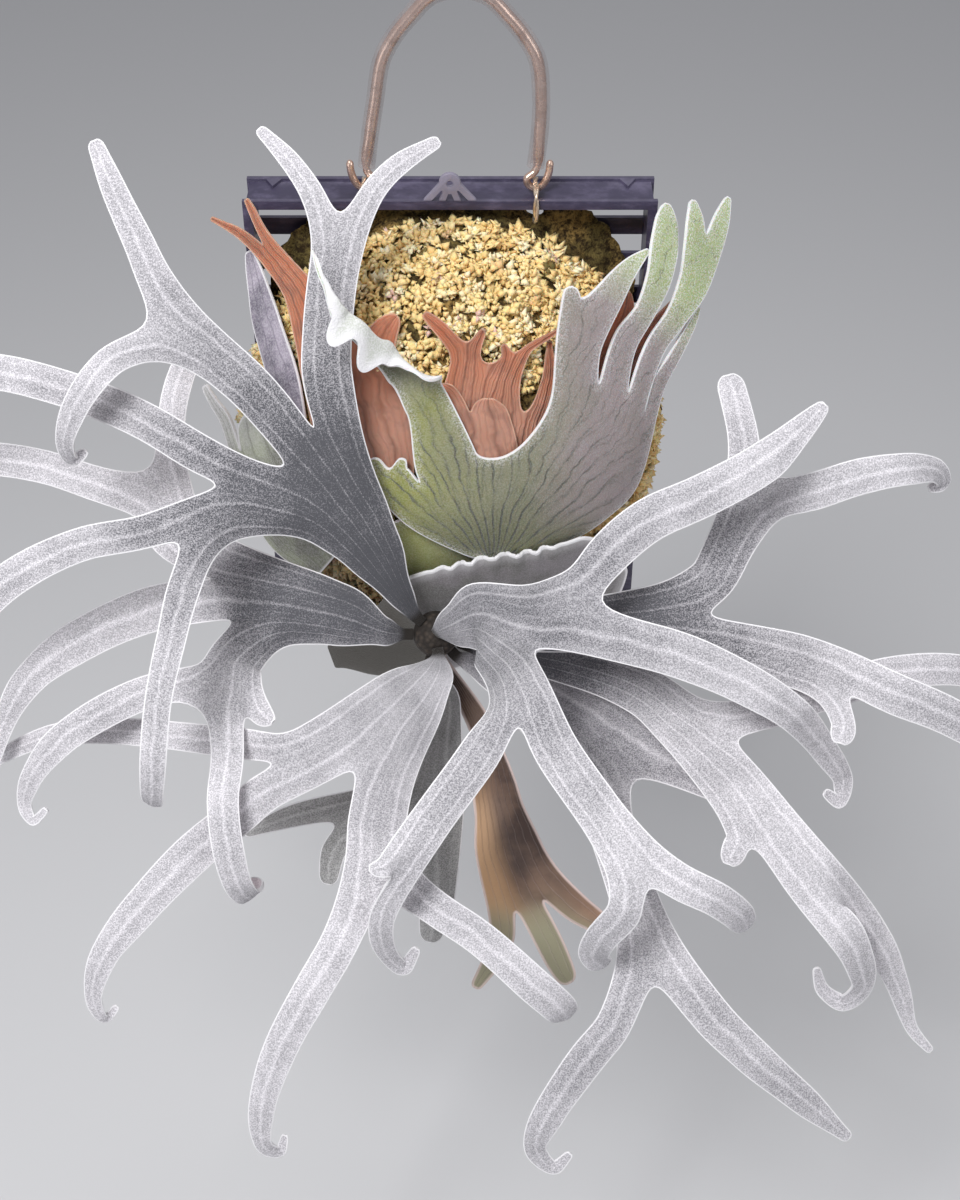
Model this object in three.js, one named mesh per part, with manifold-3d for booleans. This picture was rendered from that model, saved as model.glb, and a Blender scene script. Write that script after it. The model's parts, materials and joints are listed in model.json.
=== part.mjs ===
// Staghorn fern on a hanging plant board. Millimetres, +Z up, the board's front faces -Y.
// The origin is the point it hangs from: the underside of the hanger's arch.
import * as THREE from 'three';
import { mergeVertices } from 'three/addons/utils/BufferGeometryUtils.js';
import Module from 'manifold-3d';

const wasm = await Module();
wasm.setup();

// The plant board: a shallow black tray with a slatted back, hung upright.
const BOARD_WIDTH = 150;
const BOARD_HEIGHT = 200;
const BOARD_DEPTH = 20;
const BOARD_TOP = -73;
const WALL = 2;
const LIP_RISE = 1.2;
const LIP_HEIGHT = 3.5;
const SLAT_WIDTH = 7;
const SLAT_PITCH = 15;
const RIB_WIDTH = 6;
const RIB_SPACING = 38;
const GUSSET_FROM_END = 9;
const GUSSET_HALF_WIDTH = 3.5;
const GUSSET_REACH = 8;
const SUNK = 0.5;
const EYELET_HEIGHT = 8;
const EYELET_RADIUS = 4;
const EYELET_HOLE = 1.3;
const EYELET_FOOT = 12;
const EYELET_INNER_FOOT = 4.5;
const EYELET_LEG_START = 2;
const EYELET_LEG = 2.2;
const EYELET_THICKNESS = 2;

// The hanger: one stiff wire in a clear sleeve, hooked into a wire tie at each foot.
const WIRE_DIAMETER = 2.8;
const TIE_DIAMETER = 2.4;
const SLEEVE_OUTER = 6.6;
const SLEEVE_BORE = 4.4;
const HANGER_HALF_SPAN = 31;
const HANGER_FOOT = -64.5;
const HANGER_LEAN = 3.8;
const SLEEVE_SHORTER = 1.8;
const TIE_HOLE_DIAMETER = 5;
const TIE_HOLE_Y = 4;
const TIE_RISE = 5;
const TIE_SLACK = 0.5;
const TIE_LOOP = 15;
const TIE_SIDES = 6;
const TIE_STEPS = 22;
const WIRE_SIDES = 6;
const WIRE_STEPS = 60;
const SLEEVE_SIDES = 10;
const SLEEVE_STEPS = 26;

// The moss: a mound that fills the tray and bulges out of it.
const MOUND_CENTRE = [0, -12, -166];
const MOUND_RADII = [84, 65, 89.5];
const MOUND_BACK = 7;
const PAD_RADII = [88, 16, 112];
const PAD_MIDDLE = -170;
const TIE_POCKET = 3;
const CLUMP_DEPTH = 2;
const CLUMP_WAVES = [[13, 0, 5], [0, -7, 12], [7, 9, -17]];
const THIRD_WAVE_HEIGHT = 0.6;

// The crown, where every frond starts, and the rosette's own frame: right, up, and out of its face.
const CROWN = [-6, -97, -201];
const FACE_TILT = THREE.MathUtils.degToRad(50);
const RHIZOME_CENTRE = [0, -4, -16.9];
const RHIZOME_RADIUS = 9;

// Leaf blades.
const FROND_THICKNESS = 1.5;
const FROND_BASE_EXTRA = 0.7;
const FROND_BASE_REACH = 60;
const STALK_WIDTH = 5;
const STALK_LENGTH = 4;
const FROND_ARCH = 0.07;
const SHIELD_THICKNESS = 1.3;
const SHIELD_ARCH = 0.03;
const COLUMNS_PER_TIP = 2;
const ROW_STEP = 16;
const ROW_TURN = 0.62;
const FORK_STEP = 11;
const HOLLOW_AT = 0.6;
const SAMPLES_PER_KNOT = 24;
const SIDE_RETURN = 0.2;
const TIP_ROWS = [1, 0.45, 0.08];
const ROOM_BEFORE_TIP = 1.3;
const LEAST_STEP = 0.5;
const CLEARANCE = 0.3;

// The direction from the rhizome's middle in which each frond stands on it: right, up, out.
const SEAT = {
  upperLeft: [-0.55, 0.5, 0.67],
  left: [-0.93, 0, 0.36],
  lowerLeft: [0.1, -0.62, 0.78],
  front: [0.05, 0.05, 1],
  right: [0.85, 0.2, 0.45],
  lowerRight: [0.93, -0.35, -0.05],
  bottomRight: [0.6, -0.66, -0.45],
  hanging: [-0.2, -0.93, -0.3],
  dying: [0.15, -0.72, -0.68],
};

// How far off the mound each shield leaf's middle lies, from the oldest leaves out to the collar.
const LAYER = {
  left: 0.6, brownRight: 0.8, brown: 1, brownFront: 3.5, lilac: 2.8, smooth: 2.9, green: 5, collar: 7.3,
};

const toVector = ([x, y, z]) => new THREE.Vector3(x, y, z);

// A lobe of a leaf: its centre line as [right, up, out, width, roll, fold], and the lobes that it forks
// into. The fold bends a lobe along its middle, by a share of its width.
// The lobes of a fork are named clockwise, as seen from the front.
const lobe = (line, ...lobes) => ({ line, lobes, columns: COLUMNS_PER_TIP });
const wideLobe = (columns, line) => ({ line, lobes: [], columns });

const upperLeftFrond = lobe(
  [[-14, 13, 4, 12.5], [-22, 27, 16, 22], [-32, 41, 27, 31.5]],
  lobe(
    [[-64, 44, 39, 26]],
    lobe(
      [[-76, 37, 46, 21]],
      lobe([[-83, 17, 58, 11.5], [-87, -4, 68, 10], [-91, -25, 71, 9], [-93, -45, 69, 9],
          [-95, -57, 60, 8], [-97, -62, 48, 7]]),
      lobe([[-96, 33, 54, 11.5], [-120, 28, 58, 11.5], [-144, 16, 58, 12.5], [-168, -5, 46, 12]]),
    ),
    lobe([[-79, 59, 45, 13.5], [-101, 72, 48, 13], [-129, 83, 49, 12.5], [-158, 89, 46, 12.5],
        [-177, 84, 40, 10.5]]),
  ),
  lobe(
    [[-59, 79, 47, 16], [-72, 91, 52, 16.5], [-83, 99, 57, 19]],
    lobe([[-103, 93, 66, 10.5], [-113, 84, 68, 10], [-121, 73, 64, 9], [-126, 63, 55, 6.5],
        [-125, 58, 47, 5], [-120, 61, 47, 3]]),
    lobe([[-92, 115, 62, 14.5], [-98, 129, 65, 13], [-106, 146, 66, 11], [-114, 165, 64, 7.5]]),
  ),
  lobe(
    [[-36, 84, 46, 17.5], [-36, 103, 49, 17], [-34, 120, 52, 17], [-33, 131, 55, 18.5]],
    lobe([[-41, 153, 59, 11.5], [-49, 163, 59, 10.5], [-57, 171, 56, 7.5]]),
    lobe([[-19, 153, 59, 11], [-10, 160, 59, 10], [3, 168, 56, 7.5]]),
  ),
);

const leftFrond = lobe(
  [[-19, -3, -4, 13.5], [-34, 3, 1, 23], [-51, 7, 5, 28.5]],
  lobe(
    [[-71, -11, 17, 19.5], [-74, -19, 22, 22.5]],
    lobe([[-63, -30, 26, 7], [-56, -35, 29, 3]]),
    lobe([[-72, -44, 36, 11.5], [-73, -61, 45, 11], [-71, -78, 46, 11], [-68, -93, 38, 10],
        [-65, -97, 30, 8], [-64, -91, 24, 6.5]]),
    lobe([[-95, -21, 27, 12], [-116, -30, 30, 12], [-134, -42, 30, 11], [-146, -56, 22, 8],
        [-150, -67, 14, 5], [-147, -72, 14, 3.5], [-141, -67, 18, 2.5]]),
  ),
  lobe([[-95, 8, 10, 17], [-130, -6, 15, 15.5], [-149, -21, 15, 11.5], [-159, -37, 10, 8],
      [-164, -52, 6, 5]]),
  lobe(
    [[-95, 32, 1, 21], [-101, 45, -2, 22.5]],
    lobe([[-122, 50, -3, 12.5], [-146, 59, -6, 12.5], [-173, 63, -9, 12.5], [-190, 62, -14, 10]]),
    lobe([[-100, 67, -7, 10], [-99, 89, -13, 10.5], [-93, 106, -20, 9.5], [-84, 114, -26, 6]]),
  ),
);

const lowerLeftFrond = lobe(
  [[-1, -19, 4, 17], [-9, -28, 13, 28], [-17, -37, 22, 35.5]],
  lobe(
    [[-19, -66, 38, 20.5], [-19, -81, 45, 21]],
    lobe([[-2, -95, 50, 12], [17, -108, 51, 12], [36, -125, 50, 12.5], [45, -134, 44, 12],
        [48, -139, 36, 9]]),
    lobe([[-29, -104, 51, 13], [-40, -124, 52, 13], [-52, -146, 48, 12], [-60, -170, 40, 9.5],
        [-60, -186, 32, 6], [-55, -189, 28, 4], [-53, -183, 28, 2.5]]),
  ),
  lobe(
    [[-43, -47, 33, 22]],
    lobe([[-67, -66, 35, 13.5], [-86, -82, 33, 14.5], [-106, -103, 31, 13], [-119, -120, 26, 10],
        [-124, -137, 18, 6], [-121, -145, 12, 3.5], [-117, -141, 10, 2.5]]),
    lobe([[-75, -42, 26, 11], [-100, -40, 17, 10], [-123, -39, 12, 9.5], [-141, -41, 7, 8],
        [-160, -48, -3, 6], [-176, -57, -13, 3.5]]),
  ),
);

const frontFrond = lobe(
  [[8, -1, 11, 16], [17, 2, 20, 27.5], [25, -2, 29, 35]],
  lobe(
    [[46, 5, 41, 26]],
    lobe([[60, 24, 43, 15.5], [76, 37, 45, 15.5], [94, 45, 48, 15], [116, 57, 50, 15.5],
        [136, 76, 50, 7.5]]),
    lobe([[62, -4, 46, 16], [86, -10, 50, 16], [109, -20, 49, 14.5], [127, -31, 43, 12.5],
        [142, -46, 24, 10], [150, -57, 15, 7.5], [149, -65, 13, 5], [143, -61, 15, 3.5]]),
  ),
  lobe(
    [[30, -21, 54, 21.5]],
    lobe(
      [[40, -37, 63, 15.5], [57, -62, 72, 15.5], [67, -76, 76, 18]],
      lobe([[81, -83, 79, 12], [95, -90, 78, 11.5], [104, -97, 70, 11], [108, -103, 60, 8]]),
      lobe([[66, -92, 77, 12], [58, -105, 67, 11], [56, -113, 56, 10.5], [60, -119, 46, 9]]),
    ),
    lobe(
      [[20, -38, 65, 14], [2, -63, 71, 14], [-6, -74, 74, 14.5]],
      lobe([[-15, -94, 65, 9], [-17, -108, 53, 8.5], [-14, -117, 43, 6.5], [-10, -121, 38, 5.5],
          [-5, -113, 42, 3.5]]),
      lobe([[-15, -80, 75, 6], [-20, -80, 74, 4.5]]),
    ),
  ),
);

const rightFrond = lobe(
  [[32, -3, -4, 15], [58, 0, 6, 20], [80, 2, 13, 23.5]],
  lobe(
    [[100, 15, 17, 17], [108, 29, 18, 17.5], [115, 43, 18, 21]],
    lobe([[114, 62, 17, 11.5], [111, 80, 15, 10.5], [108, 92, 13, 10]]),
    lobe([[133, 46, 24, 13.5], [152, 53, 28, 13], [170, 56, 28, 11.5], [183, 56, 20, 9],
        [187, 52, 14, 6], [182, 50, 12, 3.5]]),
  ),
  lobe(
    [[116, -9, 19, 18], [135, -14, 27, 20]],
    lobe([[160, -23, 44, 14.5], [180, -31, 43, 13.5], [202, -43, 34, 11.5]]),
    lobe([[143, -33, 51, 8.5], [141, -41, 53, 8.5]]),
  ),
);

const lowerRightFrond = lobe(
  [[32, -12, -17, 12.5], [57, -17, -6, 16], [78, -25, 9, 18.5], [92, -37, 20, 21]],
  lobe([[116, -32, 25, 12.5], [141, -25, 20, 13], [167, -18, 16, 12.5], [195, -17, 8, 11.5],
      [217, -25, -4, 9]]),
  lobe(
    [[109, -59, 36, 21.5], [115, -69, 41, 24]],
    lobe(
      [[127, -80, 47, 19.5], [133, -88, 48, 21]],
      lobe([[150, -100, 36, 12], [161, -116, 28, 11.5], [170, -133, 18, 8], [177, -150, 8, 4.5],
          [185, -159, 4, 3]]),
      lobe([[141, -103, 52, 14], [150, -118, 44, 11], [153, -129, 34, 8], [148, -136, 26, 6.5],
          [140, -131, 28, 5], [137, -122, 32, 3]]),
    ),
    lobe([[107, -76, 44, 9.5], [104, -84, 44, 8]]),
  ),
);

const bottomRightFrond = lobe(
  [[25, -20, -26, 16.5], [44, -33, -19, 28.5], [60, -45, -9, 35.5]],
  lobe([[96, -55, 2, 15], [114, -65, 6, 9.5]]),
  lobe(
    [[64, -72, 14, 17], [69, -88, 29, 16.5], [74, -104, 38, 17.5]],
    lobe([[94, -132, 43, 14.5], [111, -150, 41, 13.5], [131, -168, 34, 11], [150, -185, 26, 4.5]]),
    lobe([[66, -136, 43, 12.5], [54, -154, 38, 13], [41, -176, 30, 11.5], [37, -190, 22, 8],
        [44, -198, 18, 5], [50, -192, 20, 3]]),
  ),
);

const hangingFrond = lobe(
  [[1, -30, -20, 17], [-2, -47, -19, 24.5], [-3, -61, -20, 30]],
  lobe([[1, -88, -24, 17], [0, -109, -32, 14], [-3, -127, -42, 9]]),
  lobe(
    [[-24, -70, -15, 17]],
    lobe([[-38, -85, -17, 10], [-42, -101, -22, 7.5]]),
    lobe([[-50, -72, -16, 10], [-74, -81, -20, 4.5]]),
  ),
);

const dyingFrond = lobe(
  [[18, -42, -26, 9.5], [24, -67, -8, 16], [30, -87, -2, 20.5]],
  lobe([[52, -105, 0, 8], [66, -114, -4, 4.5]]),
  lobe([[42, -117, 0, 10.5], [46, -126, -3, 10], [51, -136, -6, 7.5]]),
  lobe([[26, -115, -4, 10], [22, -127, -8, 7.5], [15, -139, -12, 4.5]]),
);

// Shield leaves lie on the moss: their third number is how far they stand off the layer they lie in.
const greenShield = lobe(
  [[25, 25, 0, 22.5], [25, 28, 0, 42], [25, 34, 0, 64], [25, 39, 0, 80.5], [25, 43, 0, 86.5]],
  lobe(
    [[-15, 52, 0, 16]],
    lobe([[-20, 57, 0, 6], [-23, 60, 0, 3]]),
    lobe([[-12, 57, 0, 6], [-10, 60, 0, 3]]),
  ),
  lobe([[2, 68, 1, 18.5], [-3, 78, 4, 15], [-10, 84, 13, 12, -40, -0.5], [-17, 87, 18, 8.5, -82, -1.35],
      [-22, 91, 25, 7, -88, -1.4], [-27, 96, 31, 7, -88, -1.25], [-32, 101, 36, 6, -88, -1.4],
      [-34, 107, 40, 4, -88, -1.2], [-35, 113, 43, 2.5, -80, -0.8], [-37, 119, 46, 2, -60, -0.4],
      [-39, 126, 49, 0.5]]),
  lobe(
    [[55, 71, 1, 41]],
    lobe(
      [[51, 97, 7, 15.5], [54, 108, 12, 18.5]],
      lobe([[49, 116, 16, 6.5], [50, 119, 17, 4]]),
      lobe([[64, 119, 19, 10.5], [71, 129, 23, 6.5], [78, 136, 27, 2]]),
    ),
    lobe([[68, 100, 7, 9.5], [77, 114, 16, 7.5], [82, 126, 25, 9.5], [84, 137, 31, 11], [85, 147, 35, 9],
        [85, 154, 38, 3.5]]),
    lobe(
      [[80, 100, 9, 7.5], [89, 113, 18, 8], [96, 126, 28, 12], [98, 134, 34, 14]],
      lobe([[96, 146, 42, 8], [95, 156, 44, 3]]),
      lobe([[106, 148, 42, 8], [110, 160, 46, 2.5]]),
    ),
    lobe([[82, 87, 5, 6], [89, 99, 11, 4.5], [96, 112, 17, 3.5], [99, 119, 21, 1.5]]),
  ),
);

const smoothShield = wideLobe(8, [
  [0, 3, -1, 35.5, 0, -0.03], [4, 12, -1, 54, 0, -0.03], [9, 22, -1.5, 70.5, 0, -0.035],
  [13, 31, -1.5, 73.5, 0, -0.035], [16, 40, -1, 63, 0, -0.03],
]);

const collarShield = wideLobe(8, [
  [-44, -14, 0, 10], [-24, -9, 0, 25.5], [-3, -1, 0, 40], [21, 6, 0, 38], [43, 11, 1, 35],
  [60, 18, 2, 31], [74, 24, 4, 17],
]);

const middleBrownShield = lobe(
  [[17, 46, 0, 37], [18, 63, 0, 40.5], [18, 72, 0, 39]],
  lobe([[8, 89, 0, 11.5], [7, 98, 2, 8], [2, 106, 5, 4], [-3, 110, 7, 2]]),
  lobe([[18, 88, 0, 5.5], [18, 94, 2, 4.5], [19, 98, 3, 2.5]]),
  lobe(
    [[28, 86, 0, 8.5], [29, 91, 1, 8]],
    lobe([[26, 97, 2, 3], [25, 99, 3, 2]]),
    lobe([[33, 97, 3, 3], [39, 101, 5, 2.5], [46, 106, 7, 1.5]]),
  ),
  lobe([[41, 86, 0, 4.5], [42, 95, 1, 4], [42, 102, 2, 2]]),
);

const frontBrownShield = wideLobe(6, [
  [17, 48, 0, 28], [16, 59, 0, 30.5], [14, 70, 0, 29], [10, 79, 0, 22], [4, 87, 0, 12],
]);

const leftBrownShield = lobe(
  [[-18, 46, 0, 22], [-22, 62, 0, 31.5], [-27, 77, 0, 36], [-30, 88, 1, 36]],
  lobe(
    [[-47, 118, 7, 12.5], [-55, 130, 17, 9.5]],
    lobe([[-67, 141, 28, 4.5], [-83, 151, 38, 2]]),
    lobe([[-62, 141, 29, 4], [-65, 149, 37, 3], [-68, 155, 42, 2]]),
  ),
  lobe([[-19, 102, 1, 11.5], [-16, 106, 2, 9.5], [-12, 110, 3, 5]]),
);

const rightBrownShield = lobe(
  [[52, 64, 0, 22], [60, 82, 1, 22], [66, 95, 3, 18.5]],
  lobe([[69, 112, 7, 9.5], [71, 123, 12, 4.5]]),
  lobe([[83, 110, 8, 8], [91, 122, 15, 3]]),
);

const lilacShield = lobe([[-51, 68, 0, 10.5], [-55, 90, 1.5, 12], [-62, 112, 6, 11], [-66, 128, 12, 7.5],
    [-69, 139, 17, 3.5]]);

const leftShield = lobe(
  [[-40, 25, 0, 23.5], [-54, 40, 0, 31], [-64, 54, 1, 27]],
  lobe([[-79, 76, 7, 5], [-85, 85, 12, 3.5], [-88, 91, 16, 2.5]]),
  lobe([[-68, 73, 4, 16], [-70, 80, 6, 11.5]]),
);

// How far out of the rosette's plane the moss lies at a point, with the mound grown by a layer.
// Past the mound's shoulder the surface goes on straight, as a stiff leaf does.
const SHOULDER = 0.8;

function moundDepth(right, up, layer) {
  const [rx, ry, rz] = MOUND_RADII.map((radius) => radius + layer);
  const cos = Math.cos(FACE_TILT);
  const sin = Math.sin(FACE_TILT);
  const x = right + CROWN[0] - MOUND_CENTRE[0];
  const y = up * cos + CROWN[1] - MOUND_CENTRE[1];
  const z = up * sin + CROWN[2] - MOUND_CENTRE[2];
  const a = (sin / ry) ** 2 + (cos / rz) ** 2;
  const b = (-sin * y) / ry ** 2 + (cos * z) / rz ** 2;
  const c = (x / rx) ** 2 + (y / ry) ** 2 + (z / rz) ** 2 - 1;
  const away = Math.sqrt(Math.max(0, 1 - (b * b - a * c) / a));
  const shoulderHeight = Math.sqrt(1 - SHOULDER ** 2);
  const height = away < SHOULDER
    ? Math.sqrt(1 - away ** 2)
    : shoulderHeight - (SHOULDER / shoulderHeight) * (away - SHOULDER);
  return -b / a + height / Math.sqrt(a);
}

const countColumns = (leaf) => (leaf.lobes.length
  ? leaf.lobes.reduce((sum, child) => sum + countColumns(child), 0)
  : leaf.columns);

// Where each column of a lobe ends across its last row: each child lobe takes its share by width.
function endFractions(leaf) {
  if (!leaf.lobes.length) {
    return Array.from({ length: leaf.columns + 1 }, (_, i) => i / leaf.columns);
  }
  const widths = leaf.lobes.map((child) => child.line[0][3]);
  const total = widths.reduce((sum, width) => sum + width, 0);
  const fractions = [0];
  leaf.lobes.forEach((child, i) => {
    const start = fractions[fractions.length - 1];
    const columns = countColumns(child);
    for (let k = 1; k <= columns; k += 1) fractions.push(start + (widths[i] / total) * (k / columns));
  });
  return fractions;
}

// The centre line as evenly sampled points, with its width, roll, tangent and side at each.
function sampleLine(points) {
  const places = points.map(toVector);
  const curve = new THREE.CatmullRomCurve3(places, false, 'centripetal');
  const knots = points.length - 1;
  const count = knots * SAMPLES_PER_KNOT;
  const samples = [];
  const facing = new THREE.Vector3(0, 0, 1);
  let side = null;
  let distance = 0;
  for (let i = 0; i <= count; i += 1) {
    const t = i / count;
    const at = curve.getPoint(t);
    const tangent = curve.getTangent(t);
    const knot = Math.min(knots - 1, Math.floor(t * knots));
    const blend = THREE.MathUtils.smoothstep(t * knots - knot, 0, 1);
    const width = THREE.MathUtils.lerp(points[knot][3], points[knot + 1][3], blend);
    const roll = THREE.MathUtils.lerp(points[knot][4] ?? 0, points[knot + 1][4] ?? 0, blend);
    const fold = THREE.MathUtils.lerp(points[knot][5] ?? 0, points[knot + 1][5] ?? 0, blend);
    const across = tangent.clone().cross(facing);
    const strength = across.length();
    if (strength > 0.001) across.normalize();
    if (!side) side = across.clone();
    side.addScaledVector(tangent, -side.dot(tangent)).normalize();
    if (side.dot(across) < 0) across.negate();
    side.lerp(across, SIDE_RETURN * strength * strength).normalize();
    if (samples.length) distance += at.distanceTo(samples[samples.length - 1].at);
    samples.push({ at, tangent, side: side.clone(), width, roll, fold, distance });
  }
  return samples;
}

// The distances along a centre line at which it gets a row: closer together where it curls.
function rowDistances(samples, isTip) {
  const cost = [0];
  for (let i = 1; i < samples.length; i += 1) {
    const turn = samples[i].tangent.angleTo(samples[i - 1].tangent);
    const step = samples[i].distance - samples[i - 1].distance;
    cost.push(cost[i - 1] + step / ROW_STEP + turn / ROW_TURN);
  }
  const end = samples[samples.length - 1];
  const tipLength = isTip ? end.width / 2 : 0;
  const total = cost[cost.length - 1];
  const rows = Math.max(1, Math.round(total));
  const distances = [];
  for (let row = 1, i = 0; row <= rows; row += 1) {
    while (i < samples.length - 1 && cost[i] < (total * row) / rows - 1e-9) i += 1;
    const { distance } = samples[i];
    if (!isTip || distance < end.distance - tipLength * ROOM_BEFORE_TIP) distances.push(distance);
  }
  if (isTip) TIP_ROWS.forEach((share) => distances.push(end.distance - tipLength * share));
  return distances;
}

function sampleAt(samples, distance) {
  let i = 1;
  while (i < samples.length - 1 && samples[i].distance < distance) i += 1;
  const [from, to] = [samples[i - 1], samples[i]];
  const t = THREE.MathUtils.clamp((distance - from.distance) / (to.distance - from.distance), 0, 1);
  return {
    at: from.at.clone().lerp(to.at, t),
    tangent: from.tangent.clone().lerp(to.tangent, t).normalize(),
    side: from.side.clone().lerp(to.side, t).normalize(),
    width: THREE.MathUtils.lerp(from.width, to.width, t),
    roll: THREE.MathUtils.lerp(from.roll, to.roll, t),
    fold: THREE.MathUtils.lerp(from.fold, to.fold, t),
  };
}

// One row of points across a lobe, arched or folded in the middle.
function rowAcross(here, fractions, arch, rounding = 1) {
  const side = here.side.clone().applyAxisAngle(here.tangent, THREE.MathUtils.degToRad(here.roll));
  const normal = side.clone().cross(here.tangent).normalize();
  return fractions.map((share) => {
    const fraction = share - 0.5;
    return here.at.clone()
      .addScaledVector(side, fraction * here.width * rounding)
      .addScaledVector(normal, (arch + here.fold) * here.width * (1 - 4 * fraction * fraction));
  });
}

function addRow(sheet, row, previous) {
  const ids = row.map((point) => sheet.points.push(point) - 1);
  for (let k = 0; previous && k < ids.length - 1; k += 1) {
    sheet.quads.push([previous[k], previous[k + 1], ids[k + 1], ids[k]]);
  }
  return ids;
}

// A point on the smooth curve that leaves one point along a direction and reaches another along a second.
function flow(from, leaving, to, arriving, t) {
  const reach = from.distanceTo(to);
  const [t2, t3] = [t * t, t * t * t];
  return from.clone().multiplyScalar(2 * t3 - 3 * t2 + 1)
    .addScaledVector(leaving, reach * (t3 - 2 * t2 + t))
    .addScaledVector(to, 3 * t2 - 2 * t3)
    .addScaledVector(arriving, reach * (t3 - t2));
}

// Adds a lobe's rows to the sheet from its first row on, then the fork, and then its child lobes.
function growLobe(sheet, leaf, arch, samples, firstRow, begin) {
  const isTip = leaf.lobes.length === 0;
  const fractions = endFractions(leaf);
  const full = samples[samples.length - 1].distance;
  const tipLength = samples[samples.length - 1].width / 2;
  let previous = firstRow;
  rowDistances(samples, isTip).filter((distance) => distance > begin + LEAST_STEP).forEach((distance) => {
    const left = full - distance;
    const rounding = isTip && left < tipLength ? Math.sqrt(1 - (1 - left / tipLength) ** 2) : 1;
    previous = addRow(sheet, rowAcross(sampleAt(samples, distance), fractions, arch, rounding), previous);
  });
  if (!isTip) growFork(sheet, leaf, arch, samples[samples.length - 1], previous);
}

// The fork: every column flows from the parent's last row to its own child lobe's first row.
// Neighbouring child lobes share a column as far as the hollow between them.
function growFork(sheet, leaf, arch, end, lastRow) {
  const children = leaf.lobes.map((child) => ({ child, columns: countColumns(child) }));
  let from = 0;
  children.forEach((entry) => {
    const ownRow = lastRow.slice(from, from + entry.columns + 1);
    const [left, right] = [sheet.points[ownRow[0]], sheet.points[ownRow[entry.columns]]];
    const centre = left.clone().lerp(right, 0.5);
    const start = [centre.x, centre.y, centre.z, entry.child.line[0][3], 0];
    entry.samples = sampleLine([start, ...entry.child.line]);
    entry.head = entry.samples[SAMPLES_PER_KNOT];
    entry.first = from;
    entry.reached = rowAcross(entry.head, endFractions(entry.child), arch);
    entry.reach = centre.distanceTo(entry.head.at);
    from += entry.columns;
  });
  const place = (entry, k, t) => flow(sheet.points[lastRow[entry.first + k]], end.tangent,
    entry.reached[k], entry.head.tangent, t);
  const nearest = Math.min(...children.map((entry) => entry.reach));
  const sharedRows = Math.max(1, Math.round((nearest * HOLLOW_AT) / FORK_STEP));
  let previous = lastRow;
  for (let row = 1; row <= sharedRows; row += 1) {
    const t = (HOLLOW_AT * row) / sharedRows;
    const points = lastRow.map((id, column) => {
      const places = children
        .filter(({ first, columns }) => column >= first && column <= first + columns)
        .map((entry) => place(entry, column - entry.first, t));
      return places.reduce((sum, point) => sum.add(point)).divideScalar(places.length);
    });
    previous = addRow(sheet, points, previous);
  }
  children.forEach((entry) => {
    const ownRows = Math.max(1, Math.round((entry.reach * (1 - HOLLOW_AT)) / FORK_STEP));
    const forkRow = previous.slice(entry.first, entry.first + entry.columns + 1);
    let row = forkRow;
    for (let step = 1; step <= ownRows; step += 1) {
      const passed = step / ownRows;
      const t = HOLLOW_AT + (1 - HOLLOW_AT) * passed;
      const points = forkRow.map((id, k) => {
        const pull = sheet.points[id].clone().sub(place(entry, k, HOLLOW_AT));
        return place(entry, k, t).addScaledVector(pull, (1 - passed) ** 2);
      });
      row = addRow(sheet, points, row);
    }
    growLobe(sheet, entry.child, arch, entry.samples, row, entry.head.distance);
  });
}

function growLeaf(leaf, arch) {
  const sheet = { points: [], quads: [] };
  const samples = sampleLine(leaf.line);
  const firstRow = addRow(sheet, rowAcross(samples[0], endFractions(leaf), arch), null);
  growLobe(sheet, leaf, arch, samples, firstRow, 0);
  return sheet;
}

// Turns a sheet of quads into a closed blade of the given thickness, split alike on both faces.
function bladeFromSheet(sheet, thicknessAt) {
  const triangles = sheet.quads.flatMap(([a, b, c, d]) => [[a, b, c], [a, c, d]]);
  const normals = sheet.points.map(() => new THREE.Vector3());
  triangles.forEach(([a, b, c]) => {
    const [pa, pb, pc] = [sheet.points[a], sheet.points[b], sheet.points[c]];
    const face = pb.clone().sub(pa).cross(pc.clone().sub(pa));
    [a, b, c].forEach((id) => normals[id].add(face));
  });
  const total = sheet.points.length;
  const positions = [];
  [1, -1].forEach((direction) => sheet.points.forEach((point, id) => {
    const half = (direction * thicknessAt(point)) / 2;
    const moved = point.clone().addScaledVector(normals[id].clone().normalize(), half);
    positions.push(moved.x, moved.y, moved.z);
  }));
  const used = new Set(triangles.flatMap(([a, b, c]) => [`${a}:${b}`, `${b}:${c}`, `${c}:${a}`]));
  const index = [];
  triangles.forEach(([a, b, c]) => {
    index.push(a, b, c, a + total, c + total, b + total);
    [[a, b], [b, c], [c, a]].forEach(([p, q]) => {
      if (used.has(`${q}:${p}`)) return;
      index.push(q, p, p + total, q, p + total, q + total);
    });
  });
  const geometry = new THREE.BufferGeometry();
  geometry.setAttribute('position', new THREE.Float32BufferAttribute(positions, 3));
  geometry.setIndex(index);
  geometry.computeVertexNormals();
  return geometry;
}

// A frond, on a short stalk that stands on the rhizome in the given direction.
function frondGeometry(leaf, direction) {
  const outward = toVector(direction).normalize();
  const stalk = [0, STALK_LENGTH].map((height) => {
    const at = outward.clone().multiplyScalar(RHIZOME_RADIUS + CLEARANCE + height);
    return [...at.add(toVector(RHIZOME_CENTRE)).toArray(), STALK_WIDTH];
  });
  const sheet = growLeaf({ ...leaf, line: [...stalk, ...leaf.line] }, FROND_ARCH);
  const thicker = (point) => FROND_BASE_EXTRA * Math.max(0, 1 - point.length() / FROND_BASE_REACH);
  return bladeFromSheet(sheet, (point) => FROND_THICKNESS + thicker(point));
}

function shieldGeometry(leaf, layer) {
  const sheet = growLeaf(leaf, SHIELD_ARCH);
  sheet.points.forEach((point) => {
    point.z += moundDepth(point.x, point.y, layer);
  });
  return bladeFromSheet(sheet, () => SHIELD_THICKNESS);
}

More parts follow.
